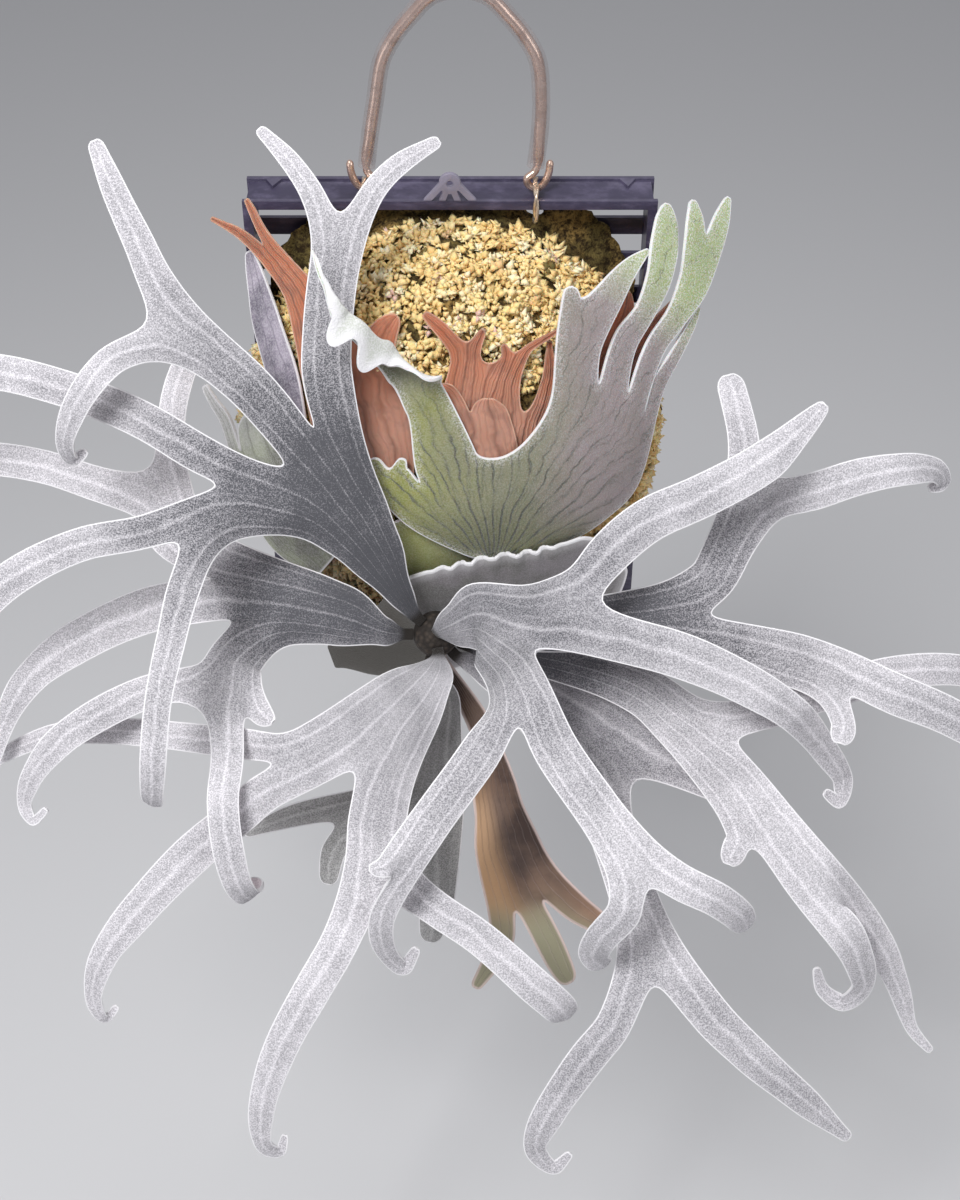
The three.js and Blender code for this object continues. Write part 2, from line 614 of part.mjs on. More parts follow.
// Solids for joining and cutting.
function solid(geometry, x = 0, y = 0, z = 0) {
  const moved = geometry.clone().translate(x, y, z);
  moved.deleteAttribute('normal');
  moved.deleteAttribute('uv');
  const merged = mergeVertices(moved, 1e-4);
  return new wasm.Manifold(new wasm.Mesh({
    numProp: 3,
    vertProperties: new Float32Array(merged.attributes.position.array),
    triVerts: new Uint32Array(merged.index.array),
  }));
}

function geometryOf(manifold) {
  const mesh = manifold.getMesh();
  const geometry = new THREE.BufferGeometry();
  geometry.setAttribute('position', new THREE.Float32BufferAttribute(mesh.vertProperties, 3));
  geometry.setIndex(Array.from(mesh.triVerts));
  geometry.computeVertexNormals();
  return geometry;
}

const joined = (solids) => solids.reduce((whole, piece) => whole.add(piece));

function block(x0, x1, y0, y1, z0, z1) {
  const box = new THREE.BoxGeometry(x1 - x0, y1 - y0, z1 - z0);
  return solid(box, (x0 + x1) / 2, (y0 + y1) / 2, (z0 + z1) / 2);
}

const halfWidth = BOARD_WIDTH / 2;
const front = -BOARD_DEPTH / 2;
const back = BOARD_DEPTH / 2;
const boardBottom = BOARD_TOP - BOARD_HEIGHT;
const tieX = HANGER_HALF_SPAN + 0.5;
const tieTop = BOARD_TOP + TIE_RISE;

// A band round the tray's outside: a frame of the wall's height in y, a little proud of the wall.
function frameBand(y0, y1, proud, inset) {
  const ring = (grow, ends) => block(
    -halfWidth - grow,
    halfWidth + grow,
    y0 - ends,
    y1 + ends,
    boardBottom - grow,
    BOARD_TOP + grow,
  );
  return ring(proud, 0).subtract(ring(-inset, 1));
}

// A triangular web of even thickness, standing on the top wall against the back lip.
function gusset(x) {
  const outline = new THREE.Shape([
    new THREE.Vector2(-GUSSET_HALF_WIDTH, back - WALL / 2),
    new THREE.Vector2(0, back - GUSSET_REACH),
    new THREE.Vector2(GUSSET_HALF_WIDTH, back - WALL / 2),
  ]);
  const web = new THREE.ExtrudeGeometry(outline, { depth: LIP_RISE + SUNK, bevelEnabled: false });
  return solid(web, x, 0, BOARD_TOP - SUNK);
}

// The moulded eyelet on the front lip: a ring on two legs.
function eyelet() {
  const centreZ = BOARD_TOP + EYELET_HEIGHT;
  const ring = new THREE.CylinderGeometry(EYELET_RADIUS, EYELET_RADIUS, EYELET_THICKNESS, 24);
  const hole = new THREE.CylinderGeometry(EYELET_HOLE, EYELET_HOLE, EYELET_THICKNESS * 3, 16);
  const y = front + EYELET_THICKNESS / 2;
  const leg = (footX, startX) => {
    const run = Math.hypot(footX - startX, EYELET_HEIGHT + LIP_HEIGHT);
    const bar = new THREE.BoxGeometry(EYELET_LEG, EYELET_THICKNESS, run);
    bar.rotateY(Math.atan2(startX - footX, EYELET_HEIGHT + LIP_HEIGHT));
    return solid(bar, (footX + startX) / 2, y, (centreZ + BOARD_TOP - LIP_HEIGHT) / 2 + SUNK);
  };
  const legs = [
    leg(-EYELET_FOOT, -EYELET_LEG_START),
    leg(EYELET_FOOT, EYELET_LEG_START),
    leg(-EYELET_INNER_FOOT, 0),
    leg(EYELET_INNER_FOOT, 0),
  ];
  const bars = joined(legs).intersect(
    block(-halfWidth, halfWidth, front, back, BOARD_TOP - WALL / 2, centreZ),
  );
  return joined([solid(ring, 0, y, centreZ), bars]).subtract(solid(hole, 0, y, centreZ));
}

function boardGeometry() {
  const inside = halfWidth - WALL / 2;
  const pieces = [
    frameBand(front, back, 0, WALL),
    frameBand(front, front + WALL, LIP_RISE, LIP_HEIGHT - LIP_RISE),
    frameBand(back - WALL, back, LIP_RISE, WALL),
    gusset(-halfWidth + GUSSET_FROM_END),
    gusset(halfWidth - GUSSET_FROM_END),
    eyelet(),
  ];
  for (let z = BOARD_TOP - SLAT_PITCH; z > boardBottom + SLAT_WIDTH; z -= SLAT_PITCH) {
    pieces.push(block(-inside, inside, back - WALL, back, z - SLAT_WIDTH, z));
  }
  for (let x = -RIB_SPACING; x <= RIB_SPACING; x += RIB_SPACING) {
    const [left, right] = [x - RIB_WIDTH / 2, x + RIB_WIDTH / 2];
    pieces.push(block(left, right, back - WALL, back, boardBottom + WALL / 2, BOARD_TOP - WALL / 2));
  }
  const holes = [-1, 1].map((sign) => {
    const radius = TIE_HOLE_DIAMETER / 2;
    const drill = new THREE.CylinderGeometry(radius, radius, WALL * 4, 16).rotateX(Math.PI / 2);
    return solid(drill, sign * tieX, TIE_HOLE_Y, BOARD_TOP);
  });
  return geometryOf(joined(pieces).subtract(joined(holes)));
}

// The ties: closed loops of wire through a hole in the top wall and round the front lip.
function tieGeometry(sign) {
  const x = sign * tieX;
  const under = BOARD_TOP - WALL - TIE_DIAMETER / 2 - 2 * TIE_SLACK;
  const before = front - TIE_DIAMETER / 2 - TIE_SLACK;
  const route = [
    [x, TIE_HOLE_Y, BOARD_TOP - 1], [x, TIE_HOLE_Y - 0.4, tieTop - 2], [x, TIE_HOLE_Y - 4, tieTop],
    [x, -4, tieTop], [x, before + 1, tieTop - 1.2], [x, before, BOARD_TOP - 1],
    [x, before + 0.8, under - 2], [x, before + 4, under - 3], [x, 0, under - 1.6],
    [x, TIE_HOLE_Y - 1, under],
  ];
  const curve = new THREE.CatmullRomCurve3(route.map(toVector), true, 'centripetal');
  return new THREE.TubeGeometry(curve, TIE_STEPS, TIE_DIAMETER / 2, TIE_SIDES, true);
}

// The hanger's arch from a foot to its top: half its span, the share of its lean reached, and height.
const archHalf = [
  [30.7, 0.5, -50], [29.7, 0.84, -37], [27.4, 1, -22], [22.5, 1, -13], [17.2, 1, -6.5], [9.8, 1, 0.8],
];
const archSide = (sign) => archHalf.map(([half, leaned, z]) => (
  [sign * half + leaned * HANGER_LEAN, 0, z]));
const footLean = HANGER_LEAN * 0.1;
const archFrom = (footHeight) => [
  [footLean - HANGER_HALF_SPAN, 0, footHeight],
  ...archSide(-1),
  [HANGER_LEAN, 0, SLEEVE_OUTER / 2],
  ...archSide(1).reverse(),
  [footLean + HANGER_HALF_SPAN, 0, footHeight],
];

// Each end of the wire turns up into a hook that holds its tie from below.
const HOOK_Y = -1.2;
const hookSide = (sign) => [
  [5.2, 8], [4.7, 3], [2.7, -1.6], [0, -3], [-2.7, -1.5], [-3.2, 0.9],
].map(([out, rise]) => [sign * (tieX + out), HOOK_Y, tieTop + rise]);

function tubeAlong(points, outerDiameter, boreDiameter, steps, sides) {
  const curve = new THREE.CatmullRomCurve3(points.map(toVector), false, 'centripetal');
  const circle = (diameter) => Array.from({ length: sides }, (_, i) => {
    const angle = (i / sides) * Math.PI * 2;
    return new THREE.Vector2(Math.cos(angle), Math.sin(angle)).multiplyScalar(diameter / 2);
  });
  const section = new THREE.Shape(circle(outerDiameter));
  if (boreDiameter) section.holes.push(new THREE.Path(circle(boreDiameter)));
  return new THREE.ExtrudeGeometry(section, { steps, extrudePath: curve, bevelEnabled: false });
}

const hangerWireGeometry = () => tubeAlong(
  [...hookSide(-1), ...archFrom(HANGER_FOOT), ...hookSide(1).reverse()],
  WIRE_DIAMETER,
  0,
  WIRE_STEPS,
  WIRE_SIDES,
);

const hangerSleeveGeometry = () => tubeAlong(
  archFrom(HANGER_FOOT + SLEEVE_SHORTER),
  SLEEVE_OUTER,
  SLEEVE_BORE,
  SLEEVE_STEPS,
  SLEEVE_SIDES,
);

// The moss: an ellipsoid with dimples between its clumps, over a pad that fills the tray but for its
// corners. The pad leaves room round the ties.
function mossGeometry() {
  const ball = new THREE.SphereGeometry(1, 32, 20);
  ball.rotateX(Math.PI / 2);
  const at = ball.attributes.position;
  const point = new THREE.Vector3();
  const waves = CLUMP_WAVES.map(toVector);
  for (let i = 0; i < at.count; i += 1) {
    point.fromBufferAttribute(at, i);
    const [first, second, third] = waves.map((wave) => Math.sin(wave.dot(point)));
    const height = first * second + third * THIRD_WAVE_HEIGHT;
    const dimple = 0.5 + height / 2 / (1 + THIRD_WAVE_HEIGHT);
    point.multiplyScalar(1 - (CLUMP_DEPTH / MOUND_RADII[0]) * dimple).multiply(toVector(MOUND_RADII));
    at.setXYZ(i, point.x, point.y, point.z);
  }
  const mound = solid(ball, ...MOUND_CENTRE);
  const inset = LIP_HEIGHT - LIP_RISE + CLEARANCE;
  const open = block(-halfWidth + inset, halfWidth - inset, front - WALL, MOUND_BACK,
    boardBottom + inset, BOARD_TOP - inset);
  const beyond = 2 * BOARD_HEIGHT;
  const proud = block(-beyond, beyond, -beyond, front - CLEARANCE, -beyond, beyond);
  const pad = solid(new THREE.SphereGeometry(1, 24, 16).scale(...PAD_RADII), 0, MOUND_BACK, PAD_MIDDLE);
  const pocket = (x) => block(x - TIE_POCKET, x + TIE_POCKET, front, back, tieTop - TIE_LOOP, BOARD_TOP);
  const filling = pad.intersect(open).subtract(pocket(-tieX)).subtract(pocket(tieX));
  return geometryOf(mound.intersect(open.add(proud)).add(filling));
}

const rhizomeGeometry = () => (
  new THREE.SphereGeometry(RHIZOME_RADIUS, 16, 10).translate(...RHIZOME_CENTRE));

const matt = (color, roughness, metalness = 0) => (
  new THREE.MeshStandardMaterial({ color, roughness, metalness }));
const plastic = () => matt(0x17151d, 0.42);
const copperWire = () => matt(0xc79a7f, 0.35, 1);
const mossy = () => matt(0xb99c5c, 1);
const woody = () => matt(0x4a3f30, 0.9);
const silverFelt = () => matt(0xb9b4c0, 0.85);
const greyFelt = () => matt(0x8f8d90, 0.85);
const dyingLeaf = () => matt(0x9a6b3e, 0.75);
const greenLeaf = () => matt(0x8b9664, 0.7);
const brownPaper = () => matt(0xa65a35, 0.8);
const lilacPaper = () => matt(0x8d8494, 0.8);

function clearVinyl() {
  const vinyl = matt(0x9a8f93, 0.2);
  vinyl.transparent = true;
  vinyl.opacity = 0.4;
  return vinyl;
}

function named(name, geometry, material) {
  const mesh = new THREE.Mesh(geometry, material);
  mesh.name = name;
  return mesh;
}

// The hanger leans, so that the board hangs a little to the left of the point that it hangs from.
const mount = new THREE.Group();
mount.position.x = -HANGER_LEAN;
mount.add(
  named('board', boardGeometry(), plastic()),
  named('hanger_wire', hangerWireGeometry(), copperWire()),
  named('hanger_sleeve', hangerSleeveGeometry(), clearVinyl()),
  named('tie_left', tieGeometry(-1), copperWire()),
  named('tie_right', tieGeometry(1), copperWire()),
  named('moss', mossGeometry(), mossy()),
);

const rosette = new THREE.Group();
rosette.position.set(...CROWN);
rosette.position.x -= HANGER_LEAN;
rosette.rotation.x = FACE_TILT;
rosette.add(
  named('rhizome', rhizomeGeometry(), woody()),
  named('shield_brown_middle', shieldGeometry(middleBrownShield, LAYER.brown), brownPaper()),
  named('shield_brown_front', shieldGeometry(frontBrownShield, LAYER.brownFront), brownPaper()),
  named('shield_brown_left', shieldGeometry(leftBrownShield, LAYER.brown), brownPaper()),
  named('shield_brown_right', shieldGeometry(rightBrownShield, LAYER.brownRight), brownPaper()),
  named('shield_left', shieldGeometry(leftShield, LAYER.left), lilacPaper()),
  named('shield_lilac', shieldGeometry(lilacShield, LAYER.lilac), lilacPaper()),
  named('shield_smooth', shieldGeometry(smoothShield, LAYER.smooth), greenLeaf()),
  named('shield_green', shieldGeometry(greenShield, LAYER.green), greenLeaf()),
  named('shield_collar', shieldGeometry(collarShield, LAYER.collar), lilacPaper()),
  named('frond_upper_left', frondGeometry(upperLeftFrond, SEAT.upperLeft), silverFelt()),
  named('frond_left', frondGeometry(leftFrond, SEAT.left), silverFelt()),
  named('frond_lower_left', frondGeometry(lowerLeftFrond, SEAT.lowerLeft), silverFelt()),
  named('frond_front', frondGeometry(frontFrond, SEAT.front), silverFelt()),
  named('frond_right', frondGeometry(rightFrond, SEAT.right), silverFelt()),
  named('frond_lower_right', frondGeometry(lowerRightFrond, SEAT.lowerRight), silverFelt()),
  named('frond_bottom_right', frondGeometry(bottomRightFrond, SEAT.bottomRight), silverFelt()),
  named('frond_hanging', frondGeometry(hangingFrond, SEAT.hanging), greyFelt()),
  named('frond_dying', frondGeometry(dyingFrond, SEAT.dying), dyingLeaf()),
);

const staghornFern = new THREE.Group();
staghornFern.add(mount, rosette);

export default staghornFern;
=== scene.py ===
import json
import math
import random

import bmesh
import bpy
import numpy as np
from mathutils import Matrix, Vector
from mathutils.bvhtree import BVHTree
from mathutils.kdtree import KDTree

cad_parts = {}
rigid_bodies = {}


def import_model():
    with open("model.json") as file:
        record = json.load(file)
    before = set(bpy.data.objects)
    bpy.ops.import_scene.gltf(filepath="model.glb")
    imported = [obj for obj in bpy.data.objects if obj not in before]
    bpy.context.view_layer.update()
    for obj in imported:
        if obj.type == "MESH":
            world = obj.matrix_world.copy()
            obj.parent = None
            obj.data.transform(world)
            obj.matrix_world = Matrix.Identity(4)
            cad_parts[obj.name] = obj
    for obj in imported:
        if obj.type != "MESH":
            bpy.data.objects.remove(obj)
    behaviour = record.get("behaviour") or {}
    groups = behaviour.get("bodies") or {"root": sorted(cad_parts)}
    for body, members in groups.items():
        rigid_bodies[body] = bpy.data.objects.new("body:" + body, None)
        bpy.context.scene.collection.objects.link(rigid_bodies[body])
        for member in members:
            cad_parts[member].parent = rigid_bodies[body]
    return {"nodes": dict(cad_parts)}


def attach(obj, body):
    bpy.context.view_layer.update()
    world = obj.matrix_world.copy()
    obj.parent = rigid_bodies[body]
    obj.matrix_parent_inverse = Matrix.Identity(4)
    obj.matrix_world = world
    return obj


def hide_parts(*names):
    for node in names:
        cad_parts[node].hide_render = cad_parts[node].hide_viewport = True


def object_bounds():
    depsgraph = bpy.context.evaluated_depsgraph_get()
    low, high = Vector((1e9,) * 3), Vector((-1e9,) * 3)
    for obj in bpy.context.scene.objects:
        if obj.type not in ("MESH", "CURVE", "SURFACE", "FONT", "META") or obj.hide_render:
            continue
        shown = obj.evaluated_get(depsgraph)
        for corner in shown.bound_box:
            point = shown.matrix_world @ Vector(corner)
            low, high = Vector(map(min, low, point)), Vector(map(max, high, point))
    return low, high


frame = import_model()
cad_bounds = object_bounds()


# The plant board: one black injection-moulded tray, hung upright, with a slatted back and a moulded eyelet.
# The solid is right as it is. Its edges get the small round that every moulded edge has.
MM = 0.001
BOARD_EDGE_ROUND = 0.35 * MM
PLASTIC_BLACK = (0.040, 0.034, 0.066, 1)
PLASTIC_SCUFFED = (0.115, 0.100, 0.165, 1)
EYELET_PAINTED_SHEEN = (0.26, 0.24, 0.31, 1)
RIM_TOP = -72 * MM
SHEEN_OVER_RIM = 1 * MM
SAME_POINT = 0.01 * MM
FLAT_ANGLE = math.radians(1)
MOULDED_EDGE_ANGLE = math.radians(40)


class Paint:
    """A value that varies over a surface: a node's socket, with arithmetic that adds its Math nodes."""

    def __init__(self, socket):
        self.socket = socket

    def node(self, kind, settings, inputs, output=0):
        tree = self.socket.id_data
        made = tree.nodes.new(kind)
        for key, setting in settings.items():
            setattr(made, key, setting)
        for key, given in inputs.items():
            if isinstance(given, Paint):
                tree.links.new(given.socket, made.inputs[key])
            else:
                made.inputs[key].default_value = given
        return Paint(made.outputs[output])

    def maths(self, operation, *others):
        return self.node("ShaderNodeMath", {"operation": operation}, dict(enumerate((self, *others))))

    def __add__(self, other):
        return self.maths("ADD", other)

    def __mul__(self, other):
        return self.maths("MULTIPLY", other)

    def __sub__(self, other):
        return self.maths("SUBTRACT", other)

    def __rsub__(self, other):
        return self.maths("MULTIPLY_ADD", -1.0, other)

    __radd__ = __add__
    __rmul__ = __mul__

    def axis(self, number):
        """One coordinate of this place, in metres: 0 to the right, 1 to the back, 2 upwards."""
        return self.node("ShaderNodeSeparateXYZ", {}, {"Vector": self}, number)

    def fades(self, none_at, full_at):
        """0 where this value is none_at, 1 where it is full_at, and smooth between."""
        settings = {"interpolation_type": "SMOOTHSTEP"}
        return self.node("ShaderNodeMapRange", settings, {0: self, 1: none_at, 2: full_at})

    def between(self, low_colour, high_colour):
        """A colour, from one to the other as this value goes from 0 to 1."""
        settings = {"data_type": "RGBA", "clamp_factor": True}
        return self.node("ShaderNodeMix", settings, {0: self, 6: low_colour, 7: high_colour}, 2)

    def grain(self, size, detail=2.0, roughness=0.55, stretch=None):
        """Noise over this place, about 0.5 on average, with features of that size in metres."""
        place = self
        if stretch:
            place = self.node("ShaderNodeMapping", {}, {"Vector": self, "Scale": stretch})
        inputs = {"Vector": place, "Scale": 1 / size, "Detail": detail, "Roughness": roughness}
        return self.node("ShaderNodeTexNoise", {}, inputs)


class Finish:
    """A material: its shader's constants, and what is painted over the surface."""

    def __init__(self, name, **constants):
        self.material = bpy.data.materials.new(name)
        self.material.use_nodes = True
        self.tree = self.material.node_tree
        self.shader = self.tree.nodes["Principled BSDF"]
        for socket, value in constants.items():
            self.shader.inputs[socket.replace("_", " ")].default_value = value
        coordinates = self.tree.nodes.new("ShaderNodeTexCoord")
        self.place = Paint(coordinates.outputs["Object"])

    def attribute(self, name):
        return self.place.node("ShaderNodeAttribute", {"attribute_name": name}, {}, 2)

    def paint(self, socket, value):
        self.tree.links.new(value.socket, self.shader.inputs[socket])

    def relief(self, height, depth):
        """Fine relief, of that depth in metres where the height goes from 0 to 1."""
        self.paint("Normal", self.place.node("ShaderNodeBump", {}, {"Height": height, "Distance": depth}))


def plastic_finish():
    finish = Finish("moulded_black_plastic", Roughness=0.36, Specular_IOR_Level=0.5)
    scuffs = finish.place.grain(9 * MM, 5, 0.7, (1, 1, 3)).fades(0.42, 0.74)
    body = (scuffs * 0.7).between(PLASTIC_BLACK, PLASTIC_SCUFFED)
    # Painted reflection: the board above its rim's top, the eyelet too, is painted a paler purple-grey for
    # the light that it reflects.
    above_rim = finish.place.axis(2).fades(RIM_TOP, RIM_TOP + SHEEN_OVER_RIM)
    finish.paint("Base Color", above_rim.between(body, EYELET_PAINTED_SHEEN))
    finish.paint("Roughness", finish.place.grain(4 * MM, 3) * 0.25 + 0.27)
    finish.relief(finish.place.grain(0.5 * MM, 2), 0.04 * MM)
    return finish.material


def in_scene(name, data):
    """A new object in the scene, of that mesh, lamp or camera."""
    made = bpy.data.objects.new(name, data)
    bpy.context.scene.collection.objects.link(made)
    return made


def select_only(*pieces):
    for each in bpy.context.selected_objects:
        each.select_set(False)
    for piece in pieces:
        piece.select_set(True)
    bpy.context.view_layer.objects.active = pieces[0]


def apply_modifier(piece, kind, **settings):
    """Adds a modifier to the piece, sets it and applies it."""
    select_only(piece)
    modifier = piece.modifiers.new(kind.lower(), kind)
    for key, setting in settings.items():
        setattr(modifier, key, setting)
    bpy.ops.object.modifier_apply(modifier=modifier.name)


def merged_copy(node, name):
    """A copy of a node of the frame, with its loose triangles joined along their edges."""
    mesh = frame["nodes"][node].data.copy()
    mesh.materials.clear()
    piece = in_scene(name, mesh)
    shell = bmesh.new()
    shell.from_mesh(mesh)
    bmesh.ops.remove_doubles(shell, verts=shell.verts, dist=SAME_POINT)
    shell.to_mesh(mesh)
    shell.free()
    return piece


def smooth_by_angle(piece, degrees):
    """Smooth shading, but for the edges that are sharper than that."""
    select_only(piece)
    bpy.ops.object.shade_smooth_by_angle(angle=math.radians(degrees))


def hand_over(piece, node):
    """The finished piece rides on the one body, and the node that it stands for is hidden."""
    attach(piece, "root")
    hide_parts(node)


board = merged_copy("board", "plant_board")
apply_modifier(board, "DECIMATE", decimate_type="DISSOLVE", angle_limit=FLAT_ANGLE)
apply_modifier(board, "BEVEL", width=BOARD_EDGE_ROUND, segments=2, limit_method="ANGLE",
               angle_limit=MOULDED_EDGE_ANGLE, use_clamp_overlap=True)
board.data.materials.append(plastic_finish())
smooth_by_angle(board, 35)
hand_over(board, "board")


# The hanger: a stiff copper-coloured wire bent to an arch, with a clear tube over it. Each end of the wire
# turns up into a hook that holds a tie, a thinner wire wound through the tray's top wall and round its lip.
WIRE_DIAMETER = 2.8
TIE_DIAMETER = 2.4
SLEEVE_OUTER = 6.6
SLEEVE_BORE = 4.4
HALF_SPAN = 31
FOOT = -64.5
LEAN = 3.8
SLEEVE_SHORTER = 1.8
BOARD_TOP = -73
BOARD_FRONT = -10
WALL = 2
TIE_X = HALF_SPAN + 0.5
TIE_TOP = BOARD_TOP + 5
TIE_HOLE_Y = 4
TIE_TWISTS = 3
STRAND_DIAMETER = 0.56 * TIE_DIAMETER
STRAND_FROM_MIDDLE = 0.4
HOOK_Y = -1.2
HOOK_BEHIND = 0.6
HOOK_END_SHARE = 0.55
HOOK_END_SLOPE = 60
FOOT_LEAN = 0.1 * LEAN
WIRE_SEEN_THROUGH_SLEEVE = 4.1
SLEEVE_MAGNIFIES_WITHIN = 3
ROUTE_STEPS = 8
TIE_STEPS = 10
WIRE_SIDES = 14
SLEEVE_SIDES = 20
STRAND_SIDES = 8
COPPER = (0.86, 0.63, 0.52, 1)
COPPER_DULL = (0.52, 0.36, 0.29, 1)
TIE_PALE = (0.88, 0.76, 0.62, 1)
TIE_DULL = (0.55, 0.43, 0.33, 1)
VINYL = (0.30, 0.25, 0.25, 1)
VINYL_MILKY = (0.42, 0.36, 0.35, 1)

# Half the arch's span, the share of its lean that it has reached, and its height, from a foot to the top.
ARCH_HALF = [(30.7, 0.5, -50), (29.7, 0.84, -37), (27.4, 1, -22), (22.5, 1, -13), (17.2, 1, -6.5),
             (9.8, 1, 0.8)]
HOOK = [(5.2, 8), (4.7, 3), (2.7, -1.6), (0, -3), (-2.7, -1.5), (-3.2, 0.9)]


def arch_from(foot_height):
    left = [(LEAN * leaned - half, 0, z) for half, leaned, z in ARCH_HALF]
    right = [(LEAN * leaned + half, 0, z) for half, leaned, z in reversed(ARCH_HALF)]
    top = [(LEAN, 0, SLEEVE_OUTER / 2)]
    return [(FOOT_LEAN - HALF_SPAN, 0, foot_height), *left, *top, *right,
            (FOOT_LEAN + HALF_SPAN, 0, foot_height)]


def hook(sign):
    return [(sign * (TIE_X + out), HOOK_Y, TIE_TOP + rise) for out, rise in HOOK]


def spline_point(points, knot, share):
    """The place and direction on the smooth curve through the points, that share of the way past a knot."""
    before = points[knot - 1] if knot > 0 else points[0] * 2 - points[1]
    after = points[knot + 2] if knot + 2 < len(points) else points[-1] * 2 - points[-2]
    here, there = points[knot], points[knot + 1]
    steps = [max((b - a).length, 1e-6) ** 0.5 for a, b in ((before, here), (here, there), (there, after))]
    leaving = ((here - before) / steps[0] - (there - before) / (steps[0] + steps[1])
               + (there - here) / steps[1]) * steps[1]
    arriving = ((there - here) / steps[1] - (after - here) / (steps[1] + steps[2])
                + (after - there) / steps[2]) * steps[1]
    bend = (there - here) * 3 - leaving * 2 - arriving
    turn = (here - there) * 2 + leaving + arriving
    place = here + leaving * share + bend * share ** 2 + turn * share ** 3
    direction = leaving + bend * (2 * share) + turn * (3 * share ** 2)
    return place, direction.normalized()


def smooth_route(points, per_knot, closed=False):
    """Points close together on the smooth curve through the given ones."""
    places = [Vector(point) for point in points]
    knots = len(places) - 1
    if closed:
        places = [places[-1], *places, places[0], places[1]]
        first, knots = 1, len(points)
    else:
        first = 0
    route = [spline_point(places, first + knot, step / per_knot)[0]
             for knot in range(knots) for step in range(per_knot)]
    return route if closed else [*route, places[-1]]


def round_bar(name, route, diameter, sides, closed=False, bore=0.0, taper=None):
    """A round wire or tube along a route given in millimetres, closed at its ends."""
    count = len(route)
    rings = []
    side = None
    for i, place in enumerate(route):
        ahead = route[(i + 1) % count] if closed or i + 1 < count else place
        behind = route[i - 1] if closed or i > 0 else place
        tangent = (ahead - behind).normalized()
        if side is None:
            side = tangent.orthogonal().normalized()
        side = (side - tangent * side.dot(tangent)).normalized()
        rings.append((place, side, tangent.cross(side)))
    shell = bmesh.new()

    def skin(width):
        made = []
        for i, (place, across, up) in enumerate(rings):
            radius = width / 2 * (taper(i / (count - 1)) if taper else 1)
            made.append([shell.verts.new((place + (across * math.cos(a) + up * math.sin(a)) * radius) * MM)
                         for a in (math.tau * k / sides for k in range(sides))])
        stop = count if closed else count - 1
        for i in range(stop):
            here, there = made[i], made[(i + 1) % count]
            for k in range(sides):
                shell.faces.new((here[k], here[(k + 1) % sides], there[(k + 1) % sides], there[k]))
        return made

    outer = skin(diameter)
    if bore:
        inner = skin(bore)
        for end in (0, -1):
            for k in range(sides):
                n = (k + 1) % sides
                shell.faces.new((outer[end][k], outer[end][n], inner[end][n], inner[end][k]))
    elif not closed:
        shell.faces.new(outer[0])
        shell.faces.new(outer[-1])
    bmesh.ops.recalc_face_normals(shell, faces=shell.faces)
    mesh = bpy.data.meshes.new(name)
    shell.to_mesh(mesh)
    shell.free()
    return in_scene(name, mesh)


def copper_finish(name, bright, tarnished):
    finish = Finish(name, Metallic=0.85, Roughness=0.3)
    dull = finish.place.grain(6 * MM, 4).fades(0.42, 0.68)
    finish.paint("Base Color", dull.between(bright, tarnished))
    finish.paint("Roughness", dull * 0.2 + 0.22)
    finish.relief(finish.place.grain(0.9 * MM, 3), 0.05 * MM)
    return finish.material


def vinyl_finish():
    finish = Finish("clear_vinyl", Roughness=0.1, IOR=1.5, Coat_Weight=0.6, Coat_Roughness=0.06)
    clouds = finish.place.grain(7 * MM, 4).fades(0.35, 0.7)
    finish.paint("Alpha", clouds * 0.08 + 0.2)
    finish.paint("Base Color", clouds.between(VINYL, VINYL_MILKY))
    return finish.material


def wire_width(share, route):
    """How wide the wire looks: less at its two ends, and more where the clear tube magnifies it."""
    place = route[round(share * (len(route) - 1))]
    end = min(1, HOOK_END_SHARE + HOOK_END_SLOPE * min(share, 1 - share))
    in_sleeve = min(1, max(0, (place.z - FOOT - SLEEVE_SHORTER) / SLEEVE_MAGNIFIES_WITHIN))
    seen = WIRE_SEEN_THROUGH_SLEEVE / WIRE_DIAMETER if abs(place.y) < HOOK_BEHIND else 1
    return end * (1 + in_sleeve * (seen - 1))


copper = copper_finish("copper_wire", COPPER, COPPER_DULL)
wire_route = smooth_route([*hook(-1), *arch_from(FOOT), *reversed(hook(1))], ROUTE_STEPS)
hanger_wire = round_bar("hanger_wire_round", wire_route, WIRE_DIAMETER, WIRE_SIDES,
                        taper=lambda share: wire_width(share, wire_route))
sleeve_route = smooth_route(arch_from(FOOT + SLEEVE_SHORTER), ROUTE_STEPS)
hanger_sleeve = round_bar("hanger_sleeve_clear", sleeve_route, SLEEVE_OUTER, SLEEVE_SIDES, bore=SLEEVE_BORE)


def hang_up(piece, material, degrees):
    """Moves a piece of the hanger sideways, so that the arch's top is over the origin, and finishes it."""
    piece.data.transform(Matrix.Translation((-LEAN * MM, 0, 0)))
    piece.data.materials.append(material)
    smooth_by_angle(piece, degrees)


hang_up(hanger_wire, copper, 40)
hand_over(hanger_wire, "hanger_wire")
hang_up(hanger_sleeve, vinyl_finish(), 40)
hand_over(hanger_sleeve, "hanger_sleeve")


def tie_route(sign):
    """The loop: up through the hole in the top wall, forward, down over the lip and back under the wall."""
    x = sign * TIE_X
    under = BOARD_TOP - WALL - TIE_DIAMETER / 2 - 1
    before = BOARD_FRONT - TIE_DIAMETER / 2 - 0.5
    side_view = [(TIE_HOLE_Y, BOARD_TOP - 1), (TIE_HOLE_Y - 0.4, TIE_TOP - 2), (TIE_HOLE_Y - 4, TIE_TOP),
                 (-4, TIE_TOP), (before + 1, TIE_TOP - 1.2), (before, BOARD_TOP - 1),
                 (before + 0.8, under - 2), (before + 4, under - 3), (0, under - 1.6),
                 (TIE_HOLE_Y - 1, under)]
    return [(x, y, z) for y, z in side_view]


